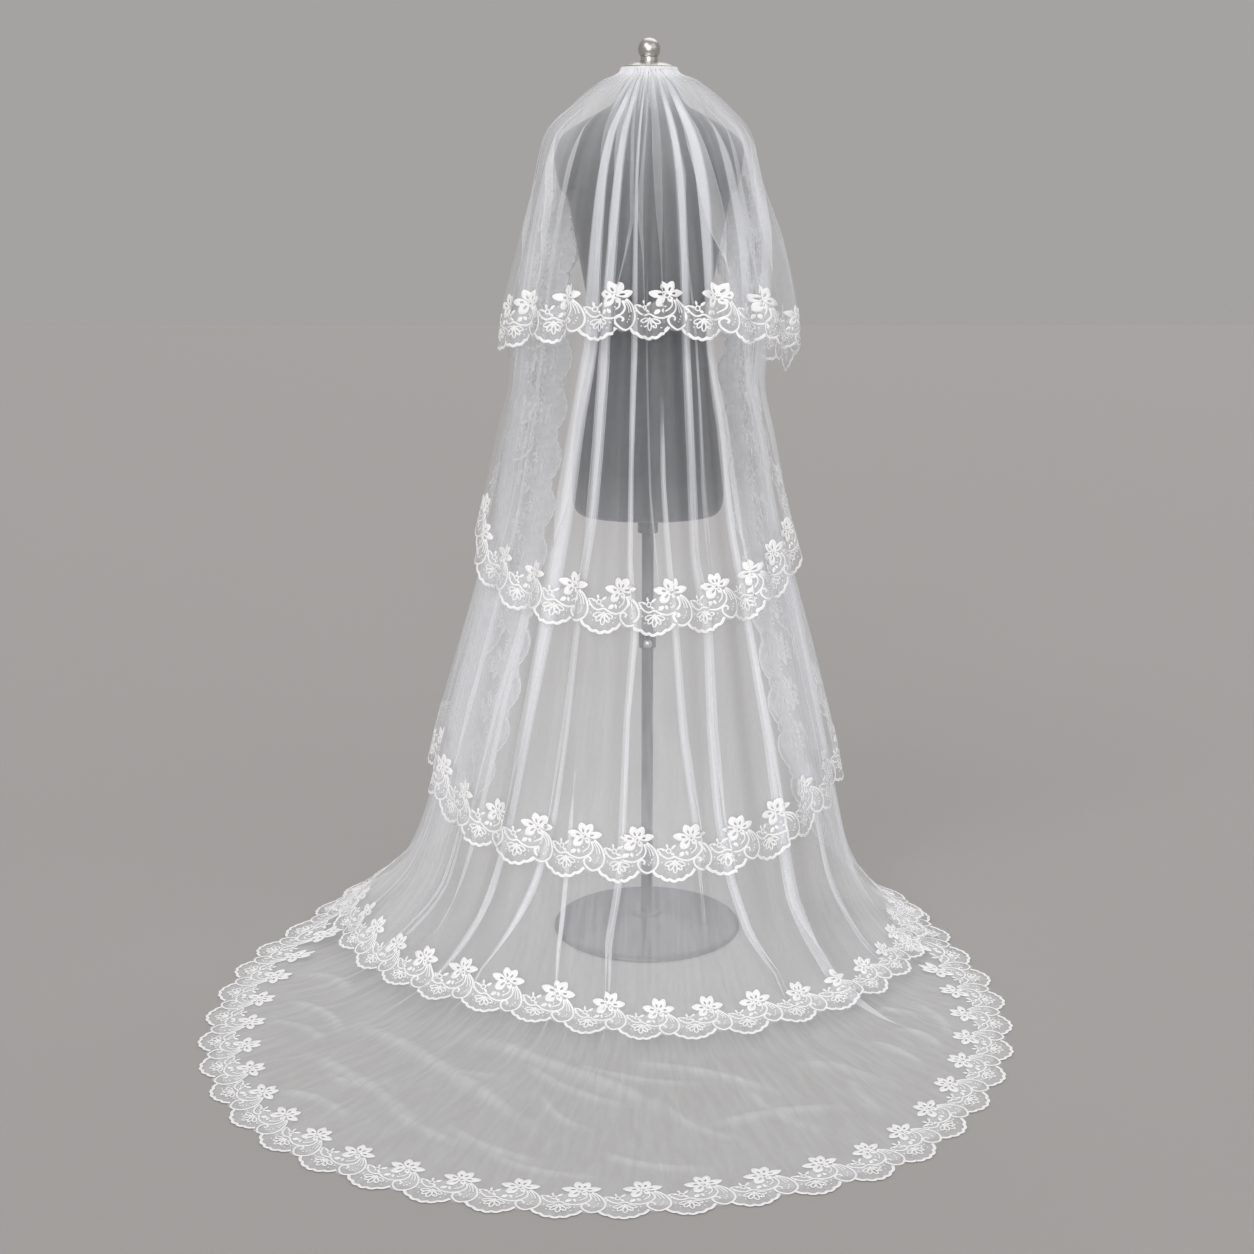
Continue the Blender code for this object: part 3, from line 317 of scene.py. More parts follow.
# ---------------------------------------------------------------------------------------------
# Folds that run down from the gathers, where the cloth laps over itself. Each is followed down the cloth by
# rows of depth below the gathers, azimuth and half width in degrees. Gain is how much more net it holds.
Fold = namedtuple("Fold", "tiers gain start end rows")
TOP, LOWER = (1,), (2, 3, 4, 5)
FOLDS = (
    # the top tier's own folds
    Fold(TOP, 2.0, 0.0, 0.60, ((0.06, -41.5, 4.0), (0.19, -34, 2.6), (0.27, -32.5, 2.6), (0.38, -31, 2.4))),
    Fold(TOP, 5.0, 0.0, 0.60, ((0.06, -31, 3.6), (0.19, -24, 3.6), (0.27, -24, 3.6), (0.36, -24, 3.6))),
    Fold(TOP, 3.0, 0.0, 0.60, ((0.06, -19, 1.6), (0.17, -14, 1.5), (0.27, -12, 1.5), (0.38, -18, 1.0))),
    Fold(TOP, 2.5, 0.0, 0.60, ((0.10, -3.5, 1.0), (0.19, -6, 1.6), (0.25, -7, 2.6), (0.33, -4, 1.0),
         (0.4, -3, 0.8))),
    Fold(TOP, 2.5, 0.0, 0.60, ((0.11, 6, 4.0), (0.15, 6, 4.0), (0.22, 6.5, 3.0), (0.34, 7, 1.0))),
    Fold(TOP, 3.0, 0.0, 0.60, ((0.10, 21, 3.4), (0.19, 24, 3.4), (0.31, 21, 1.1), (0.38, 18, 1.0))),
    Fold(TOP, 5.0, 0.0, 0.60, ((0.08, 37, 4.6), (0.14, 38, 6.4), (0.23, 41, 6.2), (0.33, 41, 4.6))),
    Fold(TOP, 5.0, 0.05, 0.60, ((0.12, -76, 2.4), (0.23, -66, 3.0), (0.35, -62, 3.2))),
    Fold(TOP, 6.0, 0.05, 0.60, ((0.19, -91, 4.0), (0.27, -85, 4.2), (0.35, -79, 4.4))),
    Fold(TOP, 3.0, 0.05, 0.60, ((0.10, 66, 1.4), (0.25, 59, 1.6), (0.35, 56, 1.8))),
    Fold(TOP, 5.0, 0.05, 0.60, ((0.12, 82, 3.0), (0.18, 78, 3.4), (0.27, 71, 3.4), (0.35, 67, 3.4))),
    Fold(TOP, 5.0, 0.10, 0.60, ((0.20, 98, 4.0), (0.45, 96, 4.4))),
    Fold(TOP, 4.0, 0.10, 0.60, ((0.20, -108, 4.0), (0.45, -108, 4.4))),
    Fold(TOP, 4.0, 0.10, 0.55, ((0.20, 118, 3.4), (0.45, 117, 3.6))),
    Fold(TOP, 4.0, 0.10, 0.55, ((0.20, -124, 3.0), (0.45, -123, 3.2))),
    # folds that go on below the top tier
    Fold(LOWER, 3.0, 0.0, 1.75, ((0.2, -35, 3.0), (0.48, -32, 3.2), (0.60, -34, 2.2), (0.80, -36, 2.4),
         (0.96, -37, 2.4), (1.12, -39, 1.9), (1.26, -40.5, 1.7), (1.46, -44, 1.5), (1.66, -48.5, 0.8))),
    Fold(LOWER, 4.0, 0.0, 1.70, ((0.2, -24, 3.0), (0.48, -24, 3.0), (0.65, -23.5, 2.2), (0.77, -24, 1.8),
         (0.87, -25, 0.9), (0.97, -26, 0.8), (1.14, -27, 0.8), (1.30, -28.5, 0.8), (1.43, -32, 0.9),
         (1.59, -38.5, 0.8))),
    Fold(LOWER, 3.0, 0.0, 1.72, ((0.2, -10, 1.2), (0.48, -8, 1.6), (0.69, -8, 0.8), (0.85, -7.5, 0.8),
         (0.97, -5, 1.0), (1.12, -7, 0.7), (1.32, -7.5, 0.8), (1.40, -8, 0.7), (1.51, -10, 0.6),
         (1.62, -9, 0.5))),
    Fold((2,), 2.5, 0.30, 1.05, ((0.48, -1.5, 0.55), (0.73, 0.3, 0.55), (0.87, 3, 0.55))),
    Fold(LOWER, 3.0, 0.55, 1.52, ((0.71, 6, 0.55), (0.89, 8, 0.6), (0.97, 9, 0.65), (1.15, 10.5, 0.65),
         (1.30, 13.5, 0.8), (1.45, 14.5, 0.8))),
    Fold(LOWER, 3.5, 0.0, 1.72, ((0.2, 23, 2.6), (0.48, 20.5, 1.3), (0.69, 19.5, 0.9), (0.85, 18.5, 0.8),
         (0.97, 21.5, 0.7), (1.15, 20.5, 0.8), (1.30, 21, 0.8), (1.41, 23, 0.9), (1.51, 26, 0.8),
         (1.59, 30.5, 0.7))),
    Fold((2, 3), 2.0, 0.2, 0.95, ((0.48, 24.5, 0.5), (0.71, 23, 0.5))),
    Fold(LOWER, 3.5, 0.0, 1.85, ((0.2, 38, 3.4), (0.48, 34.5, 1.2), (0.61, 37.5, 1.0), (0.82, 38, 0.9),
         (0.96, 38.5, 0.8), (1.17, 40, 0.8), (1.47, 41, 1.6), (1.59, 44, 1.9), (1.70, 44, 1.5))),
    Fold((3, 4), 3.0, 0.85, 1.60, ((0.97, -48, 1.2), (1.10, -50.5, 0.9), (1.22, -51.5, 0.8),
         (1.50, -54, 0.8))),
    Fold((4, 5), 3.0, 1.20, 1.72, ((1.42, -22.5, 0.7), (1.53, -22, 0.7), (1.62, -20, 0.6))),
    Fold((4, 5), 3.0, 1.20, 1.75, ((1.46, 59, 0.9), (1.56, 61, 0.8))),
    Fold((4, 5), 3.0, 1.20, 1.75, ((1.47, -60, 0.9), (1.61, -64, 0.8))),
    Fold((2, 3), 3.5, 0.05, 1.40, ((0.48, 57, 2.2), (0.68, 62, 1.6), (1.0, 62, 1.1), (1.3, 60, 0.9))),
    Fold((2, 4, 5), 3.5, 0.05, 1.70, ((0.48, 76, 2.4), (0.80, 77, 1.8), (1.2, 76, 1.2), (1.6, 78, 0.9))),
    Fold((2, 3), 3.5, 0.05, 1.40, ((0.48, -58, 2.2), (0.80, -63, 1.6), (1.3, -66, 1.0))),
    Fold((2, 4, 5), 3.5, 0.05, 1.70, ((0.48, -74, 2.4), (0.80, -78, 1.8), (1.2, -79, 1.2), (1.6, -80, 0.9))),
    Fold((2, 3, 4), 3.0, 0.10, 1.50, ((0.5, 95, 2.4), (1.3, 95, 1.3))),
    Fold((3, 4, 5), 3.0, 0.10, 1.50, ((0.5, -95, 2.4), (1.3, -96, 1.3))),
    Fold((2, 4), 3.0, 0.10, 1.30, ((0.5, -111, 2.2), (1.2, -112, 1.3))),
    Fold((3, 5), 3.0, 0.10, 1.35, ((0.5, 112, 2.2), (1.3, 111, 1.3))),
)
LAP = 3.6
# The fine gathers at the top: how many pleats in all, how high, and where they have faded out.
Gather = namedtuple("Gather", "count height fades")
GATHERS = (Gather(74, 1.3, 0.16), Gather(41, 1.5, 0.35), Gather(23, 1.6, 0.80), Gather(13, 1.6, 1.60))


def fold_track(fold, tier, level):
    """A fold's azimuth, half width and strength at each level; the tiers differ a little."""
    levels, azimuths, widths = np.array(fold.rows).T
    shift = 0.5 * math.sin(2.3 * tier + 1.1 * azimuths[0]) * (1.0 if tier > 2 else 0.0)
    width = np.interp(level, levels, widths) * (1.0 + 0.12 * math.sin(3.1 * tier + azimuths[0]))
    start = smooth_step((level - fold.start) / 0.12) if fold.start else np.ones(np.shape(level))
    strength = start * smooth_step((fold.end - level) / 0.22)
    return np.interp(level, levels, azimuths) + shift, width, strength


def folded(tier, cloth, level):
    """The azimuth where the cloth lies, how far it stands out, and how much more net its folds hold."""
    azimuth = np.array(cloth, float)
    out = np.zeros(azimuth.shape)
    held = np.zeros(azimuth.shape)
    turn_length = np.maximum(ring_reach(azimuth, level)[0], 0.03) * math.pi / 180.0
    hem = np.interp(azimuth, EDGES[tier].hem_azimuth, EDGES[tier].hem_level)
    near_hem = smooth_step((level - hem + 0.22) / 0.12)
    for fold in FOLDS:
        if tier not in fold.tiers:
            continue
        centre, width, strength = fold_track(fold, tier, level)
        share = (cloth - centre) / width
        calm = 1.0 - (0.45 + 0.40 * smooth_step((width - 1.0) / 1.5)) * near_hem
        bell = np.exp(-np.minimum(share * share, 30.0))
        azimuth = azimuth - LAP * width * share * bell * strength * calm
        rise = np.minimum(0.30 * width * turn_length, 2.6 * MM)
        out = out + rise * (0.9 - share) * bell * strength * calm
        held = held + fold.gain * np.exp(-np.minimum((share / 1.15) ** 6, 30.0)) * strength
    for index, gather in enumerate(GATHERS):
        phase = 1.7 * tier + 0.9 * index
        wobble = 0.8 * np.sin(cloth * 0.05 * (index + 2) + phase) + 0.5 * np.sin(level * 5.0 + phase)
        wave = np.sin(np.radians(cloth) * gather.count + phase + wobble)
        fade = smooth_step(level / 0.02) * (1.0 - smooth_step(level / gather.fades))
        out = out + 0.5 * gather.height * MM * wave * fade
        held = held + 1.1 * np.maximum(wave, 0.0) ** 3 * fade
    return azimuth, out, held


# Long low creases of the train and small wrinkles beside them: ends on the floor, height and half width.
Crease = namedtuple("Crease", "x0 y0 x1 y1 height width")


def floor_place(u, v):
    """A point of the floor that shows at a place of the picture, which is 1254 wide and high."""
    turn = math.atan((v - CENTRE) / FOCAL) + TILT
    ahead = EYE[2] / math.tan(turn)
    depth = ahead * math.cos(TILT) + EYE[2] * math.sin(TILT)
    return (u - CENTRE) * depth / FOCAL + EYE[0], ahead + EYE[1]


CENTRE = 627.0
FOCAL = 1850.0
TILT = math.radians(14.0)
EYE = (-0.0386, -3.372, 1.440)
CREASE_ENDS = (
    (340, 1015, 560, 1150, 4.2, 13), (450, 1035, 700, 1125, 5.1, 15), (300, 1050, 430, 1140, 3.4, 11),
    (372, 1030, 470, 1098, 3.4, 9), (520, 1060, 640, 1110, 3.0, 9), (590, 1150, 720, 1168, 2.5, 9),
    (620, 1062, 800, 1100, 3.4, 11), (700, 1130, 860, 1108, 3.4, 11), (790, 1062, 905, 1092, 3.4, 11),
    (860, 1040, 930, 1075, 3.8, 9), (850, 1075, 905, 1120, 3.0, 9), (270, 1090, 350, 1120, 3.4, 9),
    (285, 1000, 345, 1035, 4.2, 9), (262, 1020, 330, 1046, 3.4, 8), (300, 975, 352, 1000, 4.2, 9),
    (322, 1072, 402, 1082, 2.5, 8), (905, 1000, 950, 1040, 4.2, 9), (890, 1030, 945, 1050, 3.4, 8),
    (872, 1015, 925, 1020, 3.4, 8), (440, 1120, 560, 1165, 3.0, 9), (380, 1095, 480, 1150, 2.5, 9),
    (660, 1100, 745, 1142, 2.5, 8), (540, 1090, 600, 1135, 2.1, 7), (745, 1085, 830, 1135, 2.5, 9),
    (420, 1060, 520, 1075, 2.5, 7), (560, 1062, 720, 1085, 2.5, 8), (480, 1150, 610, 1178, 2.1, 7),
)
CREASES = tuple(Crease(*floor_place(a, b), *floor_place(c, d), h, w) for a, b, c, d, h, w in CREASE_ENDS)


def creased(points, tier):
    """How far each point of the train stands up in a crease, and how near to a crease's top it is."""
    rise = np.zeros(len(points))
    near = np.zeros(len(points))
    if tier != 5:
        return rise, near
    lies = smooth_step((0.03 - points[:, 2]) / 0.02)
    for crease in CREASES:
        start = np.array([crease.x0, crease.y0])
        along = np.array([crease.x1, crease.y1]) - start
        length = np.linalg.norm(along)
        along = along / length
        offset = points[:, :2] - start
        t = offset @ along / length
        side = offset @ np.array([-along[1], along[0]])
        bend = 0.022 * np.sin(math.pi * np.clip(t, 0, 1)) * np.sign(crease.height - 3.1)
        taper = smooth_step(t / 0.25) * smooth_step((1.0 - t) / 0.35)
        bell = np.exp(-((side - bend) / (crease.width * MM)) ** 2) * taper
        rise = np.maximum(rise, crease.height * MM * bell * lies)
        near = np.maximum(near, bell * lies)
    return rise, near


def tier_surface(tier, cloth, level, lift):
    """Points of a tier's cloth."""
    azimuth, out, _ = folded(tier, cloth, level)
    normal = smooth_normal(azimuth, level)
    distance = tier_offset(tier, azimuth, level) + pleat_height(azimuth, level) + out + lift
    points = smooth_point(azimuth, level) + normal * distance[..., None]
    points[..., 2] = np.maximum(points[..., 2], 0.4 * MM + lift * 0.5)
    return points


# ---------------------------------------------------------------------------------------------
# Meshes and materials.
def mesh_object(name, points, faces, values=None, places=None):
    """A mesh of faces with equal corner counts, with named point values and a flat map."""
    faces = np.asarray(faces, np.int32)
    corners = faces.shape[1]
    mesh = bpy.data.meshes.new(name)
    mesh.vertices.add(len(points))
    mesh.vertices.foreach_set("co", np.asarray(points, np.float32).ravel())
    mesh.loops.add(faces.size)
    mesh.loops.foreach_set("vertex_index", faces.ravel())
    mesh.polygons.add(len(faces))
    mesh.polygons.foreach_set("loop_start", np.arange(0, faces.size, corners, dtype=np.int32))
    mesh.update(calc_edges=True)
    for key, value in (values or {}).items():
        attribute = mesh.attributes.new(key, "FLOAT", "POINT")
        attribute.data.foreach_set("value", np.asarray(value, np.float32))
    if places is not None:
        layer = mesh.uv_layers.new(name="Cloth")
        layer.data.foreach_set("uv", np.asarray(places, np.float32)[faces.ravel()].ravel())
    mesh.shade_smooth()
    made = bpy.data.objects.new(name, mesh)
    bpy.context.scene.collection.objects.link(made)
    return made


def grid_faces(rows, columns):
    index = np.arange(rows * columns).reshape(rows, columns)
    return np.stack([index[:-1, :-1], index[1:, :-1], index[1:, 1:], index[:-1, 1:]], axis=-1).reshape(-1, 4)


def principled(name, colour, roughness, **sockets):
    made = bpy.data.materials.new(name)
    made.use_nodes = True
    shader = made.node_tree.nodes["Principled BSDF"]
    shader.inputs["Base Color"].default_value = (*colour, 1.0)
    shader.inputs["Roughness"].default_value = roughness
    for key, value in sockets.items():
        shader.inputs[key.replace("_", " ")].default_value = value
    return made, made.node_tree, shader


def add_bump(tree, shader, height, strength, distance):
    bump = tree.nodes.new("ShaderNodeBump")
    bump.inputs["Strength"].default_value = strength
    bump.inputs["Distance"].default_value = distance
    tree.links.new(height, bump.inputs["Height"])
    tree.links.new(bump.outputs["Normal"], shader.inputs["Normal"])


def noise(tree, scale, detail=2.0, stretch=(1.0, 1.0, 1.0)):
    """Fine noise in the object's own space."""
    place = tree.nodes.new("ShaderNodeTexCoord")
    mapping = tree.nodes.new("ShaderNodeMapping")
    mapping.inputs["Scale"].default_value = stretch
    texture = tree.nodes.new("ShaderNodeTexNoise")
    texture.inputs["Scale"].default_value = scale
    texture.inputs["Detail"].default_value = detail
    tree.links.new(place.outputs["Object"], mapping.inputs["Vector"])
    tree.links.new(mapping.outputs["Vector"], texture.inputs["Vector"])
    return texture.outputs["Fac"]


def ramp(tree, value, low, high):
    """Two colours, picked by a value from 0 to 1."""
    made = tree.nodes.new("ShaderNodeValToRGB")
    made.color_ramp.elements[0].position = 0.3
    made.color_ramp.elements[1].position = 0.7
    made.color_ramp.elements[0].color = (*low, 1.0)
    made.color_ramp.elements[1].color = (*high, 1.0)
    tree.links.new(value, made.inputs["Fac"])
    return made.outputs["Color"]


def net_height(tree, pitch):
    """Diamond net, by two crossing sets of threads over the cloth's flat map."""
    place = tree.nodes.new("ShaderNodeUVMap")
    place.uv_map = "Cloth"
    sets = []
    for turn in (math.radians(60.0), math.radians(-60.0)):
        mapping = tree.nodes.new("ShaderNodeMapping")
        mapping.inputs["Rotation"].default_value = (0.0, 0.0, turn)
        wave = tree.nodes.new("ShaderNodeTexWave")
        wave.inputs["Scale"].default_value = math.tau / 20.0 / pitch
        tree.links.new(place.outputs["UV"], mapping.inputs["Vector"])
        tree.links.new(mapping.outputs["Vector"], wave.inputs["Vector"])
        sets.append(wave.outputs["Fac"])
    crossed = tree.nodes.new("ShaderNodeMath")
    crossed.operation = "MAXIMUM"
    tree.links.new(sets[0], crossed.inputs[0])
    tree.links.new(sets[1], crossed.inputs[1])
    return crossed.outputs["Value"]


def net_material(name, colour):
    """Sheer net: how much it covers comes from how densely the cloth is gathered there."""
    made, tree, shader = principled(name, colour, 0.7, Sheen_Weight=0.35, Sheen_Roughness=0.4,
                                    Specular_IOR_Level=0.3)
    cover = tree.nodes.new("ShaderNodeAttribute")
    cover.attribute_name = "cover"
    place = tree.nodes.new("ShaderNodeUVMap")
    place.uv_map = "Cloth"
    mapping = tree.nodes.new("ShaderNodeMapping")
    mapping.inputs["Scale"].default_value = (1.0, 0.14, 1.0)
    streaks = tree.nodes.new("ShaderNodeTexNoise")
    streaks.inputs["Scale"].default_value = 75.0
    streaks.inputs["Detail"].default_value = 3.0
    streaks.inputs["Distortion"].default_value = 0.6
    spread = tree.nodes.new("ShaderNodeMapRange")
    spread.inputs["From Min"].default_value = 0.35
    spread.inputs["From Max"].default_value = 0.75
    spread.inputs["To Min"].default_value = 0.88
    spread.inputs["To Max"].default_value = 1.28
    uneven = tree.nodes.new("ShaderNodeMath")
    uneven.operation = "MULTIPLY"
    uneven.use_clamp = True
    tree.links.new(place.outputs["UV"], mapping.inputs["Vector"])
    tree.links.new(mapping.outputs["Vector"], streaks.inputs["Vector"])
    tree.links.new(streaks.outputs["Fac"], spread.inputs["Value"])
    tree.links.new(spread.outputs["Result"], uneven.inputs[0])
    tree.links.new(cover.outputs["Fac"], uneven.inputs[1])
    tree.links.new(uneven.outputs["Value"], shader.inputs["Alpha"])
    add_bump(tree, shader, net_height(tree, 1.6 * MM), 0.35, 0.0002)
    return made


def thread_material(name, colour, scale):
    """Satin-stitched thread, slightly uneven in tone, with fine stitch lines."""
    made, tree, shader = principled(name, colour, 0.5, Sheen_Weight=0.4, Sheen_Roughness=0.35,
                                    Specular_IOR_Level=0.4)
    tint = ramp(tree, noise(tree, 90.0, 3.0), tuple(0.93 * c for c in colour), colour)
    tree.links.new(tint, shader.inputs["Base Color"])
    add_bump(tree, shader, noise(tree, scale, 2.0, (1.0, 1.0, 0.35)), 0.3, 0.0004)
    return made


TULLE = net_material("sheer_net", (0.80, 0.81, 0.84))
NET_GROUND = net_material("lace_ground_net", (0.84, 0.85, 0.875))
THREAD = thread_material("embroidery_thread", (0.96, 0.96, 0.97), 1400.0)


def jersey_material():
    made, tree, shader = principled("grey_jersey", (0.045, 0.048, 0.053), 0.85, Sheen_Weight=0.25,
                                    Sheen_Roughness=0.5, Specular_IOR_Level=0.25)
    tint = ramp(tree, noise(tree, 55.0, 4.0), (0.038, 0.041, 0.046), (0.052, 0.055, 0.061))
    tree.links.new(tint, shader.inputs["Base Color"])
    add_bump(tree, shader, noise(tree, 900.0, 2.0, (1.0, 1.0, 0.5)), 0.1, 0.0004)
    return made


def metal_material():
    made, tree, shader = principled("brushed_metal", (0.62, 0.60, 0.57), 0.30, Metallic=1.0)
    brushed = noise(tree, 260.0, 3.0, (0.15, 0.15, 6.0))
    tree.links.new(ramp(tree, brushed, (0.52, 0.50, 0.48), (0.70, 0.68, 0.65)), shader.inputs["Base Color"])
    rough = tree.nodes.new("ShaderNodeMapRange")
    rough.inputs["To Min"].default_value = 0.24
    rough.inputs["To Max"].default_value = 0.40
    tree.links.new(brushed, rough.inputs["Value"])
    tree.links.new(rough.outputs["Result"], shader.inputs["Roughness"])
    add_bump(tree, shader, brushed, 0.12, 0.0003)
    return made


def enamel_material():
    made, tree, shader = principled("dark_enamel", (0.035, 0.037, 0.04), 0.4, Coat_Weight=0.2)
    speck = noise(tree, 700.0, 3.0)
    tint = ramp(tree, speck, (0.030, 0.032, 0.035), (0.045, 0.047, 0.05))
    tree.links.new(tint, shader.inputs["Base Color"])
    add_bump(tree, shader, speck, 0.15, 0.0003)
    return made


JERSEY = jersey_material()
METAL = metal_material()
ENAMEL = enamel_material()


# ---------------------------------------------------------------------------------------------
# The five tulle panels.
Panel = namedtuple("Panel", "columns rows width length share flat_rows", defaults=(0.0,))
FLOOR_STARTS = 0.72
PANELS = {
    1: Panel(250, 48, 1.25, 0.56, 0.88),
    2: Panel(250, 60, 1.60, 1.00, 0.80),
    3: Panel(280, 76, 1.90, 1.42, 0.78),
    4: Panel(320, 92, 2.30, 1.75, 0.74),
    5: Panel(560, 138, 2.70, 2.30, 0.65, 0.34),
}
NET_COVER = 0.03
MOST_DENSE = 5.0
HEM_TUCK = 30 * MM
# How many times a flat layer of net counts, by depth below the gathers: the cloth is gathered at the top.
GATHERED = ((0.0, 22.0), (0.015, 12.0), (0.04, 5.0), (0.09, 2.2), (0.2, 1.3), (0.45, 1.0), (0.7, 1.6),
            (0.95, 4.5), (1.2, 5.5), (1.35, 7.0), (1.62, 8.0))
# How many times a flat layer counts where the net lies on the floor, and how much more at the sides.
LYING = {1: 1.0, 2: 1.0, 3: 1.0, 4: 12.0, 5: 13.0}
SIDE_GAIN = {1: 6.5, 2: 1.6, 3: 1.2, 4: 1.0, 5: 0.8}
CREASE_GAIN = 9.0
COLUMN_REACH = 1.35
ROW_POWER = 0.92


def column_knots(tier, level, first, last):
    """Azimuths that the mesh columns keep to at each level, so that they run along the folds."""
    middle = 0.5 * EDGES[tier].hem_level.max()
    folds = [fold for fold in FOLDS if tier in fold.tiers]
    folds.sort(key=lambda fold: fold_track(fold, tier, middle)[0])
    tracks = [fold_track(fold, tier, level)[:2] for fold in folds]
    knots = [np.full(np.shape(level), first)]
    for index, (centre, width) in enumerate(tracks):
        left, right = centre - COLUMN_REACH * width, centre + COLUMN_REACH * width
        if index:
            left = np.maximum(left, (tracks[index - 1][0] + centre) / 2)
        if index + 1 < len(tracks):
            right = np.minimum(right, (tracks[index + 1][0] + centre) / 2)
        knots += [left, centre, right]
    knots.append(np.full(np.shape(level), last))
    return np.clip(np.maximum.accumulate(np.stack(knots), axis=0), first, last)


def panel_columns(tier, panel, first, last):
    """For each column the knot before it and its share of the way to the next."""
    middle = column_knots(tier, np.array(0.6 * EDGES[tier].hem_level.max()), first, last)
    toward = (0.0, 0.16, 0.30, 0.42, 0.52, 0.63, 0.76, 0.88)
    away = (0.0, 0.12, 0.24, 0.37, 0.48, 0.58, 0.70, 0.84)
    columns = []
    pitch = (last - first) / panel.columns
    for index, (here, after) in enumerate(zip(middle, middle[1:])):
        count = max(2, round(float(after - here) / pitch))
        even = tuple(k / count for k in range(count))
        columns += [(index, share) for share in (even, toward, away)[index % 3]]
    columns.append((len(middle) - 2, 1.0))
    return columns


def add_panel(tier):
    panel, edge = PANELS[tier], EDGES[tier]
    lengths = np.linspace(0.0, edge.total, 400)
    inner_azimuth, inner_level = edge.inset(lengths, HEM_TUCK)
    inner_azimuth = np.maximum.accumulate(inner_azimuth)
    first, last = inner_azimuth[0], inner_azimuth[-1]
    columns = panel_columns(tier, panel, first, last)
    before = np.array([index for index, _ in columns])
    part = np.array([share for _, share in columns])

    def cloth_at(level):
        knots = column_knots(tier, level, first, last)
        wide = np.broadcast_shapes(level.shape, (1, len(columns)))
        knots = np.broadcast_to(knots, (len(knots), *wide))
        index = np.broadcast_to(before, knots.shape[1:])[None]
        low, high = np.take_along_axis(knots, index, 0)[0], np.take_along_axis(knots, index + 1, 0)[0]
        return low + (high - low) * part

    bottom = np.full(len(columns), 0.6 * inner_level.max())[None, :]
    for _ in range(12):
        bottom = 0.4 * bottom + 0.6 * np.interp(cloth_at(bottom), inner_azimuth, inner_level)
    share = np.linspace(0.0, 1.0, panel.rows)[:, None]
    reach = panel.flat_rows
    if reach:
        hanging = share / reach * FLOOR_STARTS
        lying = FLOOR_STARTS + (share - reach) / (1 - reach) * (1.0 - FLOOR_STARTS)
        level = bottom * np.where(share < reach, hanging, lying)
    else:
        level = bottom * share ** ROW_POWER
    cloth = cloth_at(level)
    points = tier_surface(tier, cloth, level, WALL / 2)
    azimuth, _, held = folded(tier, cloth, level)
    flat = points.reshape(-1, 3)
    rise, near = creased(flat, tier)
    flat[:, 2] += rise
    spacing = np.linalg.norm(np.gradient(points, axis=1), axis=-1)
    unfolded = np.linalg.norm(np.gradient(smooth_point(cloth, level), axis=1), axis=-1)
    packed = np.clip(unfolded / np.maximum(spacing, 1e-5), 0.8, MOST_DENSE)
    levels, counts = np.array(GATHERED).T
    middle = 1.0 - 0.62 * smooth_step((np.abs(azimuth) - 38.0) / 30.0) * smooth_step(level / 0.01)
    gathered = 1.0 + (np.interp(level, levels, counts) - 1.0) * np.where(level < 0.3, middle, 1.0)
    sides = smooth_step((np.abs(azimuth) - 50.0) / 25.0) * smooth_step(level / 0.12)
    lying = smooth_step((0.05 - points[..., 2]) / 0.045)
    density = gathered * (1.0 + SIDE_GAIN[tier] * sides) * (1.0 - lying) + LYING[tier] * lying
    density = (density + held * np.where(level < 0.5, 1.0, 1.5)) * packed
    density = density + CREASE_GAIN * near.reshape(level.shape)
    cover = 1.0 - (1.0 - NET_COVER) ** density
    places = np.stack([cloth / (last - first) * panel.width, level], axis=-1).reshape(-1, 2)
    faces = grid_faces(*level.shape)
    made = mesh_object(f"tulle_panel_{tier}", flat, faces, {"cover": cover.ravel()}, places)
    made.data.materials.append(TULLE)
    # Real net scatters the light on; here each of up to ten layers would dim the lace behind it.
    made.visible_shadow = False
    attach(made, BODY)
    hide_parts(f"tulle_tier_{tier}")


# ---------------------------------------------------------------------------------------------
# The lace: a scalloped net ground, and one repeat of embroidery laid along it.
def border_inset(along):
    """How far the scalloped border lies in from the free edge, over one repeat from 0 to 1."""
    large = along < LOBE_STARTS
    share = np.where(large, along / LOBE_STARTS, (along - LOBE_STARTS) / (1.0 - LOBE_STARTS))
    arch = np.sqrt(np.clip(1.0 - (2.0 * share - 1.0) ** 2, 0.0, 1.0))
    depth = np.where(large, 2.5 + 17.0 * (2.0 * share - 1.0) ** 2, 13.5 + 6.0 * (1.0 - arch))
    small = np.abs(np.sin(math.pi * share * 5.0)) * np.where(large, 1.0, 0.0)
    return (depth - 2.8 * small) * MM


def seam_inset(along):
    """How far in the net ground reaches: round the flower, low between flowers."""
    away = np.abs((along - 0.71 + 0.5) % 1.0 - 0.5)
    return (57.0 + 24.0 * np.exp(-(away / 0.20) ** 2)) * MM


LOBE_STARTS = 0.75


def add_ground(tier):
    edge = EDGES[tier]
    steps = edge.repeats * 40
    length = np.linspace(0.0, edge.total, steps + 1)
    along = (length / edge.total * edge.repeats) % 1.0
    low, high = border_inset(along), seam_inset(along)
    share = np.linspace(0.0, 1.0, 8)[:, None]
    inset = low + (high - low) * share
    azimuth, level = edge.inset(np.broadcast_to(length, inset.shape), inset)
    points = tier_surface(tier, azimuth, level, WALL / 2 + 0.35 * MM)
    flat = points.reshape(-1, 3)
    rise, _ = creased(flat, tier)
    flat[:, 2] += rise
    faces = grid_faces(*inset.shape)
    places = np.stack([np.broadcast_to(length, inset.shape), inset], axis=-1).reshape(-1, 2)
    cover = np.full(len(flat), GROUND_COVER[tier])
    made = mesh_object(f"lace_ground_{tier}", flat, faces, {"cover": cover}, places)
    made.data.materials.append(NET_GROUND)
    made.visible_shadow = False
    return made, float(np.mean(high - low)) * edge.total


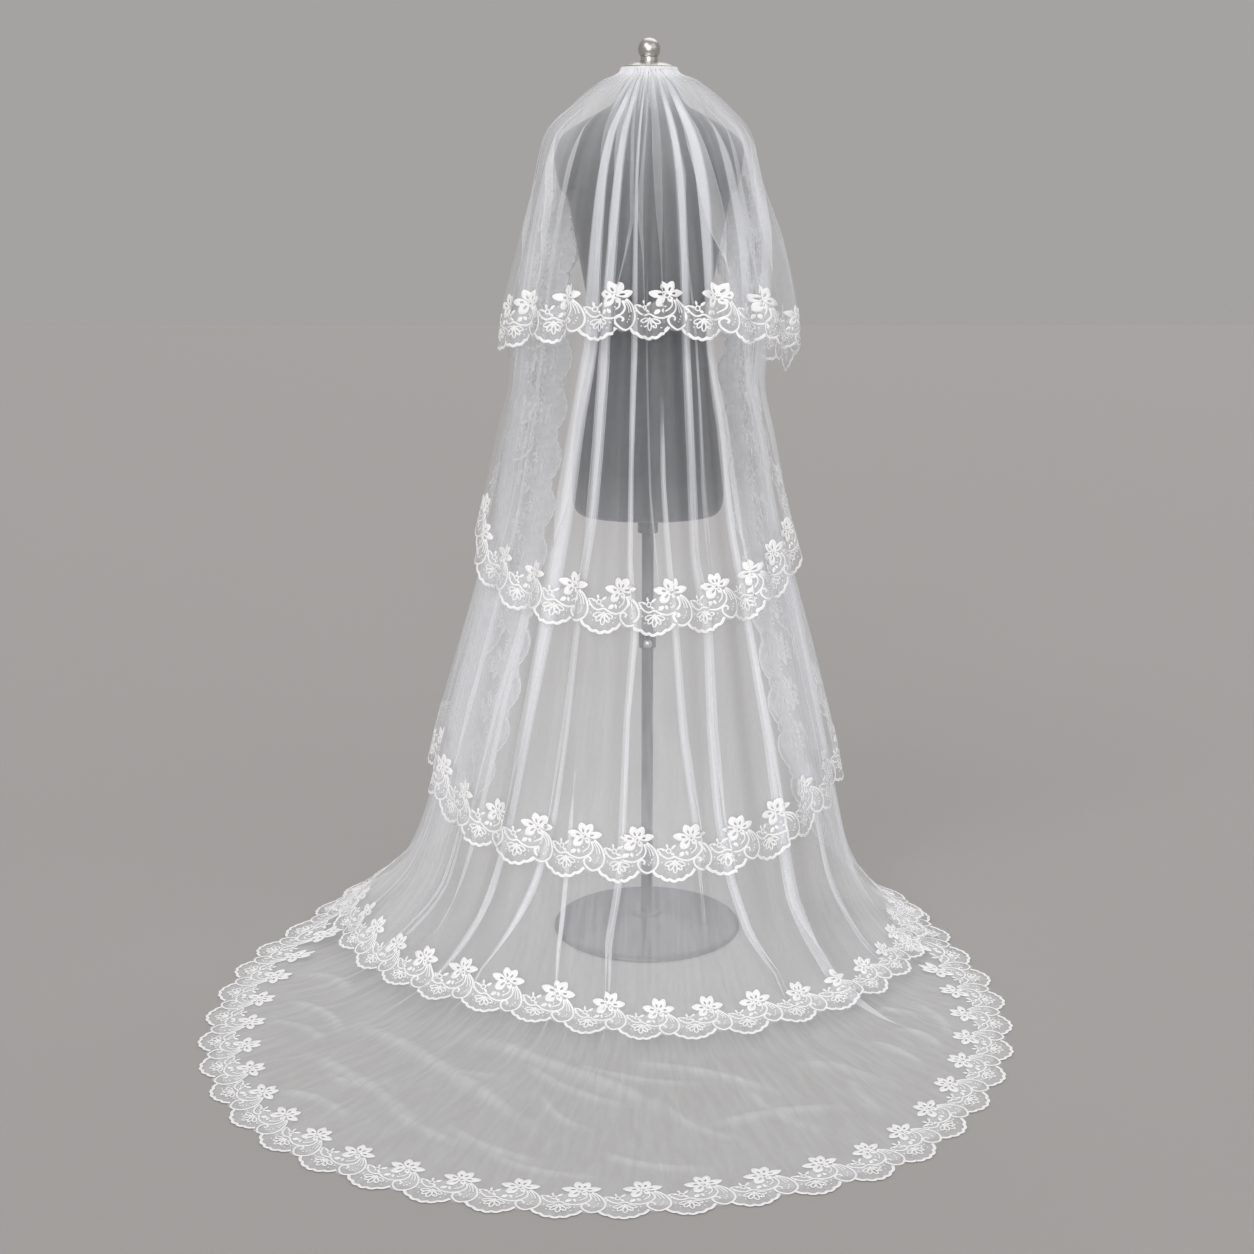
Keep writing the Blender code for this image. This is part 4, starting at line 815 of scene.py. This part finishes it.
MOTIF_LENGTH = 94.0
STITCH_HEIGHT = 0.9 * MM
GROUND_COVER = {1: 0.20, 2: 0.20, 3: 0.20, 4: 0.28, 5: 0.34}


class Motif:
    """One repeat of the embroidery, flat, in millimetres along and in from the free edge."""

    def __init__(self):
        self.points = []
        self.faces = []

    def rings(self, loops, heights, closed_top=False):
        """Bands of triangles between closed loops of equal point counts."""
        count = len(loops[0])
        first = len(self.points)
        for loop, height in zip(loops, heights):
            self.points.extend((x, y, height) for x, y in loop)
        for ring in range(len(loops) - 1):
            for k in range(count):
                a, b = first + ring * count + k, first + ring * count + (k + 1) % count
                c, d = a + count, b + count
                self.faces.extend(((a, b, d), (a, d, c)))
        if closed_top:
            top = first + (len(loops) - 1) * count
            for k in range(1, count - 1):
                self.faces.append((top, top + k, top + k + 1))

    def petal(self, centre, turn, start, end, width, eyelet=0.0, steps=14):
        """A pointed petal that leaves a centre at a turn in degrees, with an oval eyelet near its foot."""
        turn = math.radians(turn)
        ahead, aside = np.array([math.cos(turn), math.sin(turn)]), np.array([-math.sin(turn), math.cos(turn)])
        middle = (start + end) / 2
        half = (end - start) / 2
        outline = []
        for k in range(steps):
            angle = math.tau * k / steps
            cosine, sine = math.cos(angle), math.sin(angle)
            along = middle + half * cosine
            belly = width / 2 * sine * (1.0 - 0.30 * max(cosine, 0.0) ** 2) * (1.0 - 0.45 * max(-cosine, 0.0))
            outline.append(np.array(centre) + ahead * along + aside * belly)
        outline = np.array(outline)
        core = np.array(centre) + ahead * (middle - 0.25 * half)
        if eyelet:
            hole_centre = np.array(centre) + ahead * (start + 0.34 * (end - start))
            hole = np.array([hole_centre + ahead * eyelet * 1.8 * math.cos(math.tau * k / steps)
                             + aside * eyelet * 0.8 * math.sin(math.tau * k / steps) for k in range(steps)])
            rim = hole + (outline - hole) * 0.16
            crown = hole + (outline - hole) * 0.72
            self.rings([outline, crown, rim, hole], [0.0, 1.0, 0.85, 0.0])
        else:
            self.rings([outline, core + (outline - core) * 0.72, core + (outline - core) * 0.25],
                       [0.0, 0.9, 1.15], closed_top=True)

    def cord(self, points, width, height=0.8, smooth=3, closed=False):
        """A thread laid along a curve through the points, triangular in section."""
        line = curve_through(points, smooth, closed)
        if closed:
            ahead = np.roll(line, -1, axis=0) - np.roll(line, 1, axis=0)
        else:
            ahead = np.gradient(line, axis=0)
        ahead = ahead / np.maximum(np.linalg.norm(ahead, axis=1, keepdims=True), 1e-9)
        aside = np.stack([-ahead[:, 1], ahead[:, 0]], axis=1) * width / 2
        first = len(self.points)
        for side, rise in ((-1.0, 0.0), (0.0, height), (1.0, 0.0)):
            self.points.extend((x, y, rise) for x, y in line + aside * side)
        count = len(line)
        for k in range(count if closed else count - 1):
            after = (k + 1) % count
            for band in (0, 1):
                a, b = first + band * count + k, first + band * count + after
                self.faces.extend(((a, b, b + count), (a, b + count, a + count)))

    def ring(self, x, y, radius, width, steps=9):
        self.cord([(x + radius * math.cos(math.tau * k / steps), y + radius * math.sin(math.tau * k / steps))
                   for k in range(steps)], width, 0.8, 1, True)

    def dot(self, x, y, radius, steps=6):
        loop = [(x + radius * math.cos(math.tau * k / steps), y + radius * math.sin(math.tau * k / steps))
                for k in range(steps)]
        small = [((px - x) * 0.4 + x, (py - y) * 0.4 + y) for px, py in loop]
        self.rings([loop, small], [0.0, 0.9], closed_top=True)


def lace_motif():
    motif = Motif()
    flower = (67.0, 74.0)
    petals = ((172, 31, 14, 2.2), (112, 25, 15.5, 2.0), (63, 25, 15.5, 2.0), (10, 31, 13.5, 2.0),
              (224, 25, 17, 2.4), (308, 15, 10, 1.5))
    for turn, end, width, eyelet in petals:
        motif.petal(flower, turn, 3.0, end, width, eyelet)
    motif.ring(flower[0] + 1, flower[1] - 1, 3.6, 2.2, 8)
    # the lobe at the right, its inner arcs and its curl
    motif.cord([(84, 69), (95, 60), (102, 48), (104, 36), (99, 24), (85, 16.5), (73, 24), (69.5, 34),
                (75, 39.5), (81, 36), (79, 31.5)], 3.3)
    motif.cord([(83, 67), (92, 57), (96, 46)], 2.2)
    motif.cord([(81, 66), (88, 56), (91, 45)], 1.5)
    motif.cord([(79, 66), (83, 54), (77, 43), (62, 36), (48, 38), (38, 43), (28, 40), (18, 44), (9, 55)], 3.1)
    motif.cord([(76, 65), (75, 55), (66, 47)], 2.3)
    # leaves below the flower, and the sprig at the left
    motif.petal((45, 43), 38, 0.0, 12.0, 8.0, steps=8)
    motif.petal((61, 44), 118, 0.0, 9.0, 6.0, steps=8)
    motif.cord([(8, 56), (16, 57), (24, 53)], 2.2)
    motif.ring(28, 53, 4.0, 2.2, 8)
    motif.petal((27, 56), 105, 1.0, 10.0, 5.0, steps=8)
    motif.petal((31, 55), 40, 1.0, 13.0, 5.0, steps=8)
    motif.petal((24, 54), 165, 1.0, 9.0, 4.5, steps=8)
    motif.petal((30, 50), 330, 1.0, 9.0, 5.0, steps=8)
    # the small open flower inside the scallop
    for turn, length in ((198, 15), (232, 15), (268, 17), (304, 15), (338, 15)):
        ahead = (math.cos(math.radians(turn)), math.sin(math.radians(turn)))
        centre = (38 + ahead[0] * (length / 2 + 3.0), 35 + ahead[1] * (length / 2 + 3.0))
        loop = []
        for k in range(9):
            c, s = math.cos(math.tau * k / 9), math.sin(math.tau * k / 9)
            loop.append((centre[0] + ahead[0] * length / 2 * c - ahead[1] * 3.4 * s,
                         centre[1] + ahead[1] * length / 2 * c + ahead[0] * 3.4 * s))
        motif.cord(loop, 2.3, 0.8, 1, True)
    motif.dot(38, 35, 2.8)
    for x, y, radius in ((32, 23, 1.5), (45, 23, 1.5), (25, 27, 1.3), (51, 27, 1.3), (93, 39, 1.6),
                         (91, 34, 1.5), (88, 30, 1.3), (12, 47, 1.4), (60, 29, 1.5), (16, 34, 1.5),
                         (21, 22, 1.3), (56, 20, 1.3), (66, 55, 1.5)):
        motif.dot(x, y, radius, 5)
    # the border in thick cord: small scallops, then the foot of the lobe
    border = []
    for k in range(61):
        share = k / 60.0
        inset = float(border_inset(np.array(share * (LOBE_STARTS - 1e-6)))) / MM + 1.2
        border.append((MOTIF_LENGTH * LOBE_STARTS * share, inset))
    motif.cord(border, 5.0, 1.0, 1)
    return np.array(motif.points, float), np.array(motif.faces, np.int32)


MOTIF_POINTS, MOTIF_FACES = lace_motif()
def add_embroidery(tier):
    edge = EDGES[tier]
    step = edge.total / edge.repeats
    rows, faces = [], []
    for index in range(edge.repeats):
        length = (index + MOTIF_POINTS[:, 0] / MOTIF_LENGTH) * step
        rows.append(np.stack([length, MOTIF_POINTS[:, 1] * MM, MOTIF_POINTS[:, 2]], axis=1))
        faces.append(MOTIF_FACES + index * len(MOTIF_POINTS))
    rows, faces = np.concatenate(rows), np.concatenate(faces)
    beyond = (rows[:, 0] < 0.0) | (rows[:, 0] > edge.total)
    keep = ~beyond[faces].any(axis=1)
    faces = faces[keep]
    azimuth, level = edge.inset(np.clip(rows[:, 0], 0.0, edge.total), rows[:, 1])
    points = tier_surface(tier, azimuth, level, WALL / 2 + 0.4 * MM + rows[:, 2] * STITCH_HEIGHT)
    rise, _ = creased(points, tier)
    points[:, 2] += rise
    used = np.unique(faces)
    renumber = np.full(len(points), -1)
    renumber[used] = np.arange(len(used))
    made = mesh_object(f"embroidery_{tier}", points[used], renumber[faces])
    made.data.materials.append(THREAD)
    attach(made, BODY)
    return made


def add_lace(tier):
    ground, area = add_ground(tier)
    work = add_embroidery(tier)
    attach(ground, BODY)
    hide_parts(f"lace_tier_{tier}")


# ---------------------------------------------------------------------------------------------
# The heading and the dress form.
def lathe(name, profile, material, node, steps=64, axis_to=None):
    """A turned piece from (radius, height) rows, running from the axis to the axis."""
    profile = np.array(profile, float)
    turns = np.linspace(0.0, math.tau, steps, endpoint=False)
    body = profile[1:-1]
    points = [(0.0, 0.0, profile[0, 1])]
    for radius, height in body:
        points.extend((radius * math.cos(t), radius * math.sin(t), height) for t in turns)
    points.append((0.0, 0.0, profile[-1, 1]))
    faces = []
    for k in range(steps):
        after = (k + 1) % steps
        faces.append((0, 1 + k, 1 + after))
        for ring in range(len(body) - 1):
            a, b = 1 + ring * steps + k, 1 + ring * steps + after
            faces.extend(((a, a + steps, b + steps), (a, b + steps, b)))
        last = 1 + (len(body) - 1) * steps
        faces.append((len(points) - 1, last + after, last + k))
    points = np.array(points)
    if axis_to is not None:
        points = points @ axis_to[0].T + axis_to[1]
    made = mesh_object(name, points, faces)
    made.data.set_sharp_from_angle(angle=math.radians(35.0))
    made.data.materials.append(material)
    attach(made, BODY)
    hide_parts(node)
    return made


def rounded(profile, radius, steps=4):
    """The profile again, with its inner corners rounded off."""
    profile = [np.array(row, float) for row in profile]
    rows = [profile[0]]
    for before, here, after in zip(profile, profile[1:], profile[2:]):
        into, out = here - before, after - here
        cut = min(radius, 0.45 * np.linalg.norm(into), 0.45 * np.linalg.norm(out))
        start = here - into / np.linalg.norm(into) * cut
        end = here + out / np.linalg.norm(out) * cut
        for k in range(steps + 1):
            t = k / steps
            rows.append((1 - t) ** 2 * start + 2 * t * (1 - t) * here + t * t * end)
    return rows + [profile[-1]]


HEADING_DEPTH = 0.075


def add_heading():
    """The gathered heading: a ribbed roll of net at the neck, that thins out into the tiers."""
    azimuth = np.linspace(-142.0, 142.0, 361)
    turn = np.radians(azimuth * DRAPE[0].wrap)
    rib = np.sin(np.radians(azimuth) * 51.0 + 1.2 * np.sin(azimuth * 0.11))
    rib = rib + 0.6 * np.sin(np.radians(azimuth) * 87.0)
    rows = []
    for reach, height, strength in ((44.7, 1605.5, 0.0), (46.6, 1607.2, 0.3), (49.2, 1606.6, 0.8),
                                    (51.0, 1603.8, 1.0), (52.0, 1600.5, 1.0)):
        out = reach * MM + 0.35 * MM * strength * rib
        rows.append(np.stack([out * np.sin(turn), -out * np.cos(turn),
                              np.full(len(turn), height * MM)], axis=-1))
    covers = [np.ones(len(turn))] * len(rows)
    thinner = 1.3 * smooth_step((np.abs(azimuth) - 45.0) / 40.0)
    for level in np.linspace(0.0, HEADING_DEPTH, 14):
        fade = level / HEADING_DEPTH
        lift = WALL / 2 + (0.5 + 0.35 * rib) * (1 - 0.7 * fade) * MM
        rows.append(tier_surface(1, azimuth, np.full(len(azimuth), level), lift))
        covers.append(np.clip(0.96 - fade * (1.1 + 0.22 * rib + thinner), 0.0, 1.0))
    points = np.concatenate(rows)
    faces = grid_faces(len(rows), len(turn))
    across = np.broadcast_to(azimuth * 0.003, (len(rows), len(turn)))
    down = np.broadcast_to(np.linspace(0, 0.09, len(rows))[:, None], across.shape)
    made = mesh_object("gathered_heading", points, faces, {"cover": np.concatenate(covers)},
                       np.stack([across, down], axis=-1).reshape(-1, 2))
    made.data.materials.append(TULLE)
    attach(made, BODY)
    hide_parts("heading")


Girth = namedtuple("Girth", "height side back front")
TORSO = (
    Girth(0.813, 0.112, 0.078, 0.078), Girth(0.818, 0.128, 0.094, 0.094), Girth(0.836, 0.138, 0.104, 0.103),
    Girth(0.880, 0.140, 0.106, 0.104), Girth(0.980, 0.133, 0.103, 0.100), Girth(1.060, 0.117, 0.092, 0.091),
    Girth(1.130, 0.105, 0.083, 0.086), Girth(1.200, 0.110, 0.088, 0.096), Girth(1.280, 0.124, 0.097, 0.113),
    Girth(1.346, 0.1365, 0.103, 0.119), Girth(1.385, 0.145, 0.104, 0.112), Girth(1.400, 0.157, 0.103, 0.108),
    Girth(1.420, 0.163, 0.098, 0.098), Girth(1.450, 0.167, 0.088, 0.082), Girth(1.468, 0.168, 0.078, 0.070),
    Girth(1.484, 0.161, 0.070, 0.062), Girth(1.505, 0.136, 0.060, 0.053), Girth(1.528, 0.094, 0.051, 0.048),
    Girth(1.546, 0.064, 0.046, 0.045), Girth(1.570, 0.049, 0.0435, 0.0435),
    Girth(1.5932, 0.0435, 0.0425, 0.0425),
)


def add_torso():
    rows = curve_through([(g.height, g.side, g.back, g.front) for g in TORSO], 4, False)
    steps = 96
    turns = np.linspace(0.0, math.tau, steps, endpoint=False)
    depth = np.where(np.cos(turns) > 0.0, rows[:, 2:3], rows[:, 3:4])
    points = np.stack([rows[:, 1:2] * np.sin(turns), -depth * np.cos(turns),
                       np.broadcast_to(rows[:, 0:1], depth.shape)], axis=-1).reshape(-1, 3)
    index = np.arange(len(rows) * steps).reshape(len(rows), steps)
    after = np.roll(index, -1, axis=1)
    faces = np.stack([index[:-1], after[:-1], after[1:], index[1:]], axis=-1).reshape(-1, 4)
    bottom, top = len(points), len(points) + 1
    points = np.concatenate([points, [[0, 0, rows[0, 0]], [0, 0, rows[-1, 0]]]])
    quads = [tuple(face) for face in faces]
    mesh = bpy.data.meshes.new("dress_form")
    caps = [(bottom, index[0][(k + 1) % steps], index[0][k]) for k in range(steps)]
    caps += [(top, index[-1][k], index[-1][(k + 1) % steps]) for k in range(steps)]
    mesh.from_pydata(points.tolist(), [], [tuple(map(int, f)) for f in quads + caps])
    mesh.shade_smooth()
    mesh.set_sharp_from_angle(angle=math.radians(50.0))
    made = bpy.data.objects.new("dress_form", mesh)
    bpy.context.scene.collection.objects.link(made)
    made.data.materials.append(JERSEY)
    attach(made, BODY)
    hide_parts("form_torso")


def add_stand():
    low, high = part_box("neck_cap")
    rim = 44.5 * MM
    dome = [(0.0, high.z), (0.0165, high.z), (0.022, high.z - 1.0 * MM), (0.034, high.z - 3.5 * MM),
            (0.0425, high.z - 7 * MM), (rim, high.z - 9.5 * MM), (rim, low.z), (0.0, low.z)]
    lathe("neck_dome", rounded(dome, 2.5 * MM), METAL, "neck_cap", 96)
    foot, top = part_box("finial")
    ball, centre = 19.5 * MM, 1.6370
    profile = [(0.0, top.z)]
    foot_turn = math.asin(14.6 / 19.5)
    for k in range(1, 21):
        turn = (math.pi - foot_turn) * k / 20
        profile.append((ball * math.sin(turn), centre + ball * math.cos(turn)))
    profile += [(15.3 * MM, profile[-1][1] - 0.8 * MM), (15.5 * MM, foot.z + 1 * MM),
                (15.5 * MM, foot.z), (0.0, foot.z)]
    lathe("ball_finial", profile, METAL, "finial", 64)
    low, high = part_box("pole")
    lathe("stand_pole", rounded([(0, high.z), (11 * MM, high.z), (11 * MM, low.z), (0, low.z)], 0.8 * MM),
          ENAMEL, "pole", 48)
    low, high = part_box("stand_base")
    disc = [(0.0, 0.030), (0.024, 0.030), (0.030, 0.024), (0.100, 0.015), (0.170, 0.010), (0.178, 0.007),
            (0.180, 0.003), (0.180, 0.0), (0.0, 0.0)]
    lathe("stand_foot", rounded(disc, 4 * MM), ENAMEL, "stand_base", 96)
    for name, node, outer in (("torso_collar", "pole_collar", 19 * MM),
                              ("pole_clamp", "height_clamp", 16 * MM)):
        low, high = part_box(node)
        lathe(name, rounded([(0, high.z), (outer, high.z), (outer, low.z), (0, low.z)], 1.5 * MM),
              ENAMEL, node, 48)
    low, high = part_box("clamp_knob")
    height = (low.z + high.z) / 2
    length = high.y - low.y
    knob = [(0, length), (3.5 * MM, length - 0.4 * MM), (6 * MM, length - 1.4 * MM),
            (8 * MM, length - 3.2 * MM), (8 * MM, 11.5 * MM), (7 * MM, 10 * MM),
            (3 * MM, 10 * MM), (3 * MM, 0), (0, 0)]
    turned = np.array([[1, 0, 0], [0, 0, -1], [0, 1, 0]], float)
    lathe("screw_knob", rounded(knob, 0.8 * MM), METAL, "clamp_knob", 32,
          (turned, np.array([0.0, high.y, height])))


# ---------------------------------------------------------------------------------------------
add_torso()
add_stand()
add_heading()
for number in TIER_EDGES:
    add_panel(number)
    add_lace(number)


# ---------------------------------------------------------------------------------------------
# The studio: a pale floor, soft light, and the picture's view from behind.
Lamp = namedtuple("Lamp", "name height side power soft colour")
LAMPS = (
    Lamp("key", 40.0, -38.0, 0.65, 30.0, (1.0, 0.985, 0.965)),
    Lamp("fill", 28.0, 50.0, 0.35, 50.0, (0.97, 0.985, 1.0)),
    Lamp("top", 55.0, 165.0, 0.9, 60.0, (1.0, 1.0, 1.0)),
    Lamp("low", 14.0, -6.0, 1.4, 40.0, (1.0, 1.0, 1.0)),
)


def add_studio():
    mesh = bpy.data.meshes.new("studio_floor")
    size = 14.0
    corners = [(-size, -size, 0), (size, -size, 0), (size, size, 0), (-size, size, 0)]
    mesh.from_pydata(corners, [], [(0, 1, 2, 3)])
    floor = bpy.data.objects.new("studio_floor", mesh)
    floor.location.z = -0.0005
    bpy.context.scene.collection.objects.link(floor)
    look, tree, shader = principled("pale_floor", (0.385, 0.374, 0.366), 0.8)
    floor.data.materials.append(look)
    world = bpy.data.worlds.new("soft_studio")
    bpy.context.scene.world = world
    world.use_nodes = True
    background = world.node_tree.nodes["Background"]
    background.inputs["Color"].default_value = (0.375, 0.365, 0.358, 1.0)
    background.inputs["Strength"].default_value = 1.0
    for lamp in LAMPS:
        data = bpy.data.lights.new(lamp.name, "SUN")
        data.energy = lamp.power
        data.angle = math.radians(lamp.soft)
        data.color = lamp.colour
        made = bpy.data.objects.new(lamp.name, data)
        made.rotation_euler = (math.radians(90.0 - lamp.height), 0.0, math.radians(lamp.side))
        bpy.context.scene.collection.objects.link(made)


def add_camera():
    data = bpy.data.cameras.new("picture_view")
    data.sensor_width = 36.0
    data.lens = FOCAL / 1254.0 * data.sensor_width
    camera = bpy.data.objects.new("picture_view", data)
    camera.location = EYE
    camera.rotation_euler = (math.pi / 2 - TILT, 0.0, 0.0)
    bpy.context.scene.collection.objects.link(camera)
    bpy.context.scene.camera = camera


add_studio()
add_camera()
bpy.context.scene.cycles.transparent_max_bounces = 128
bpy.context.scene.view_settings.view_transform = "Standard"
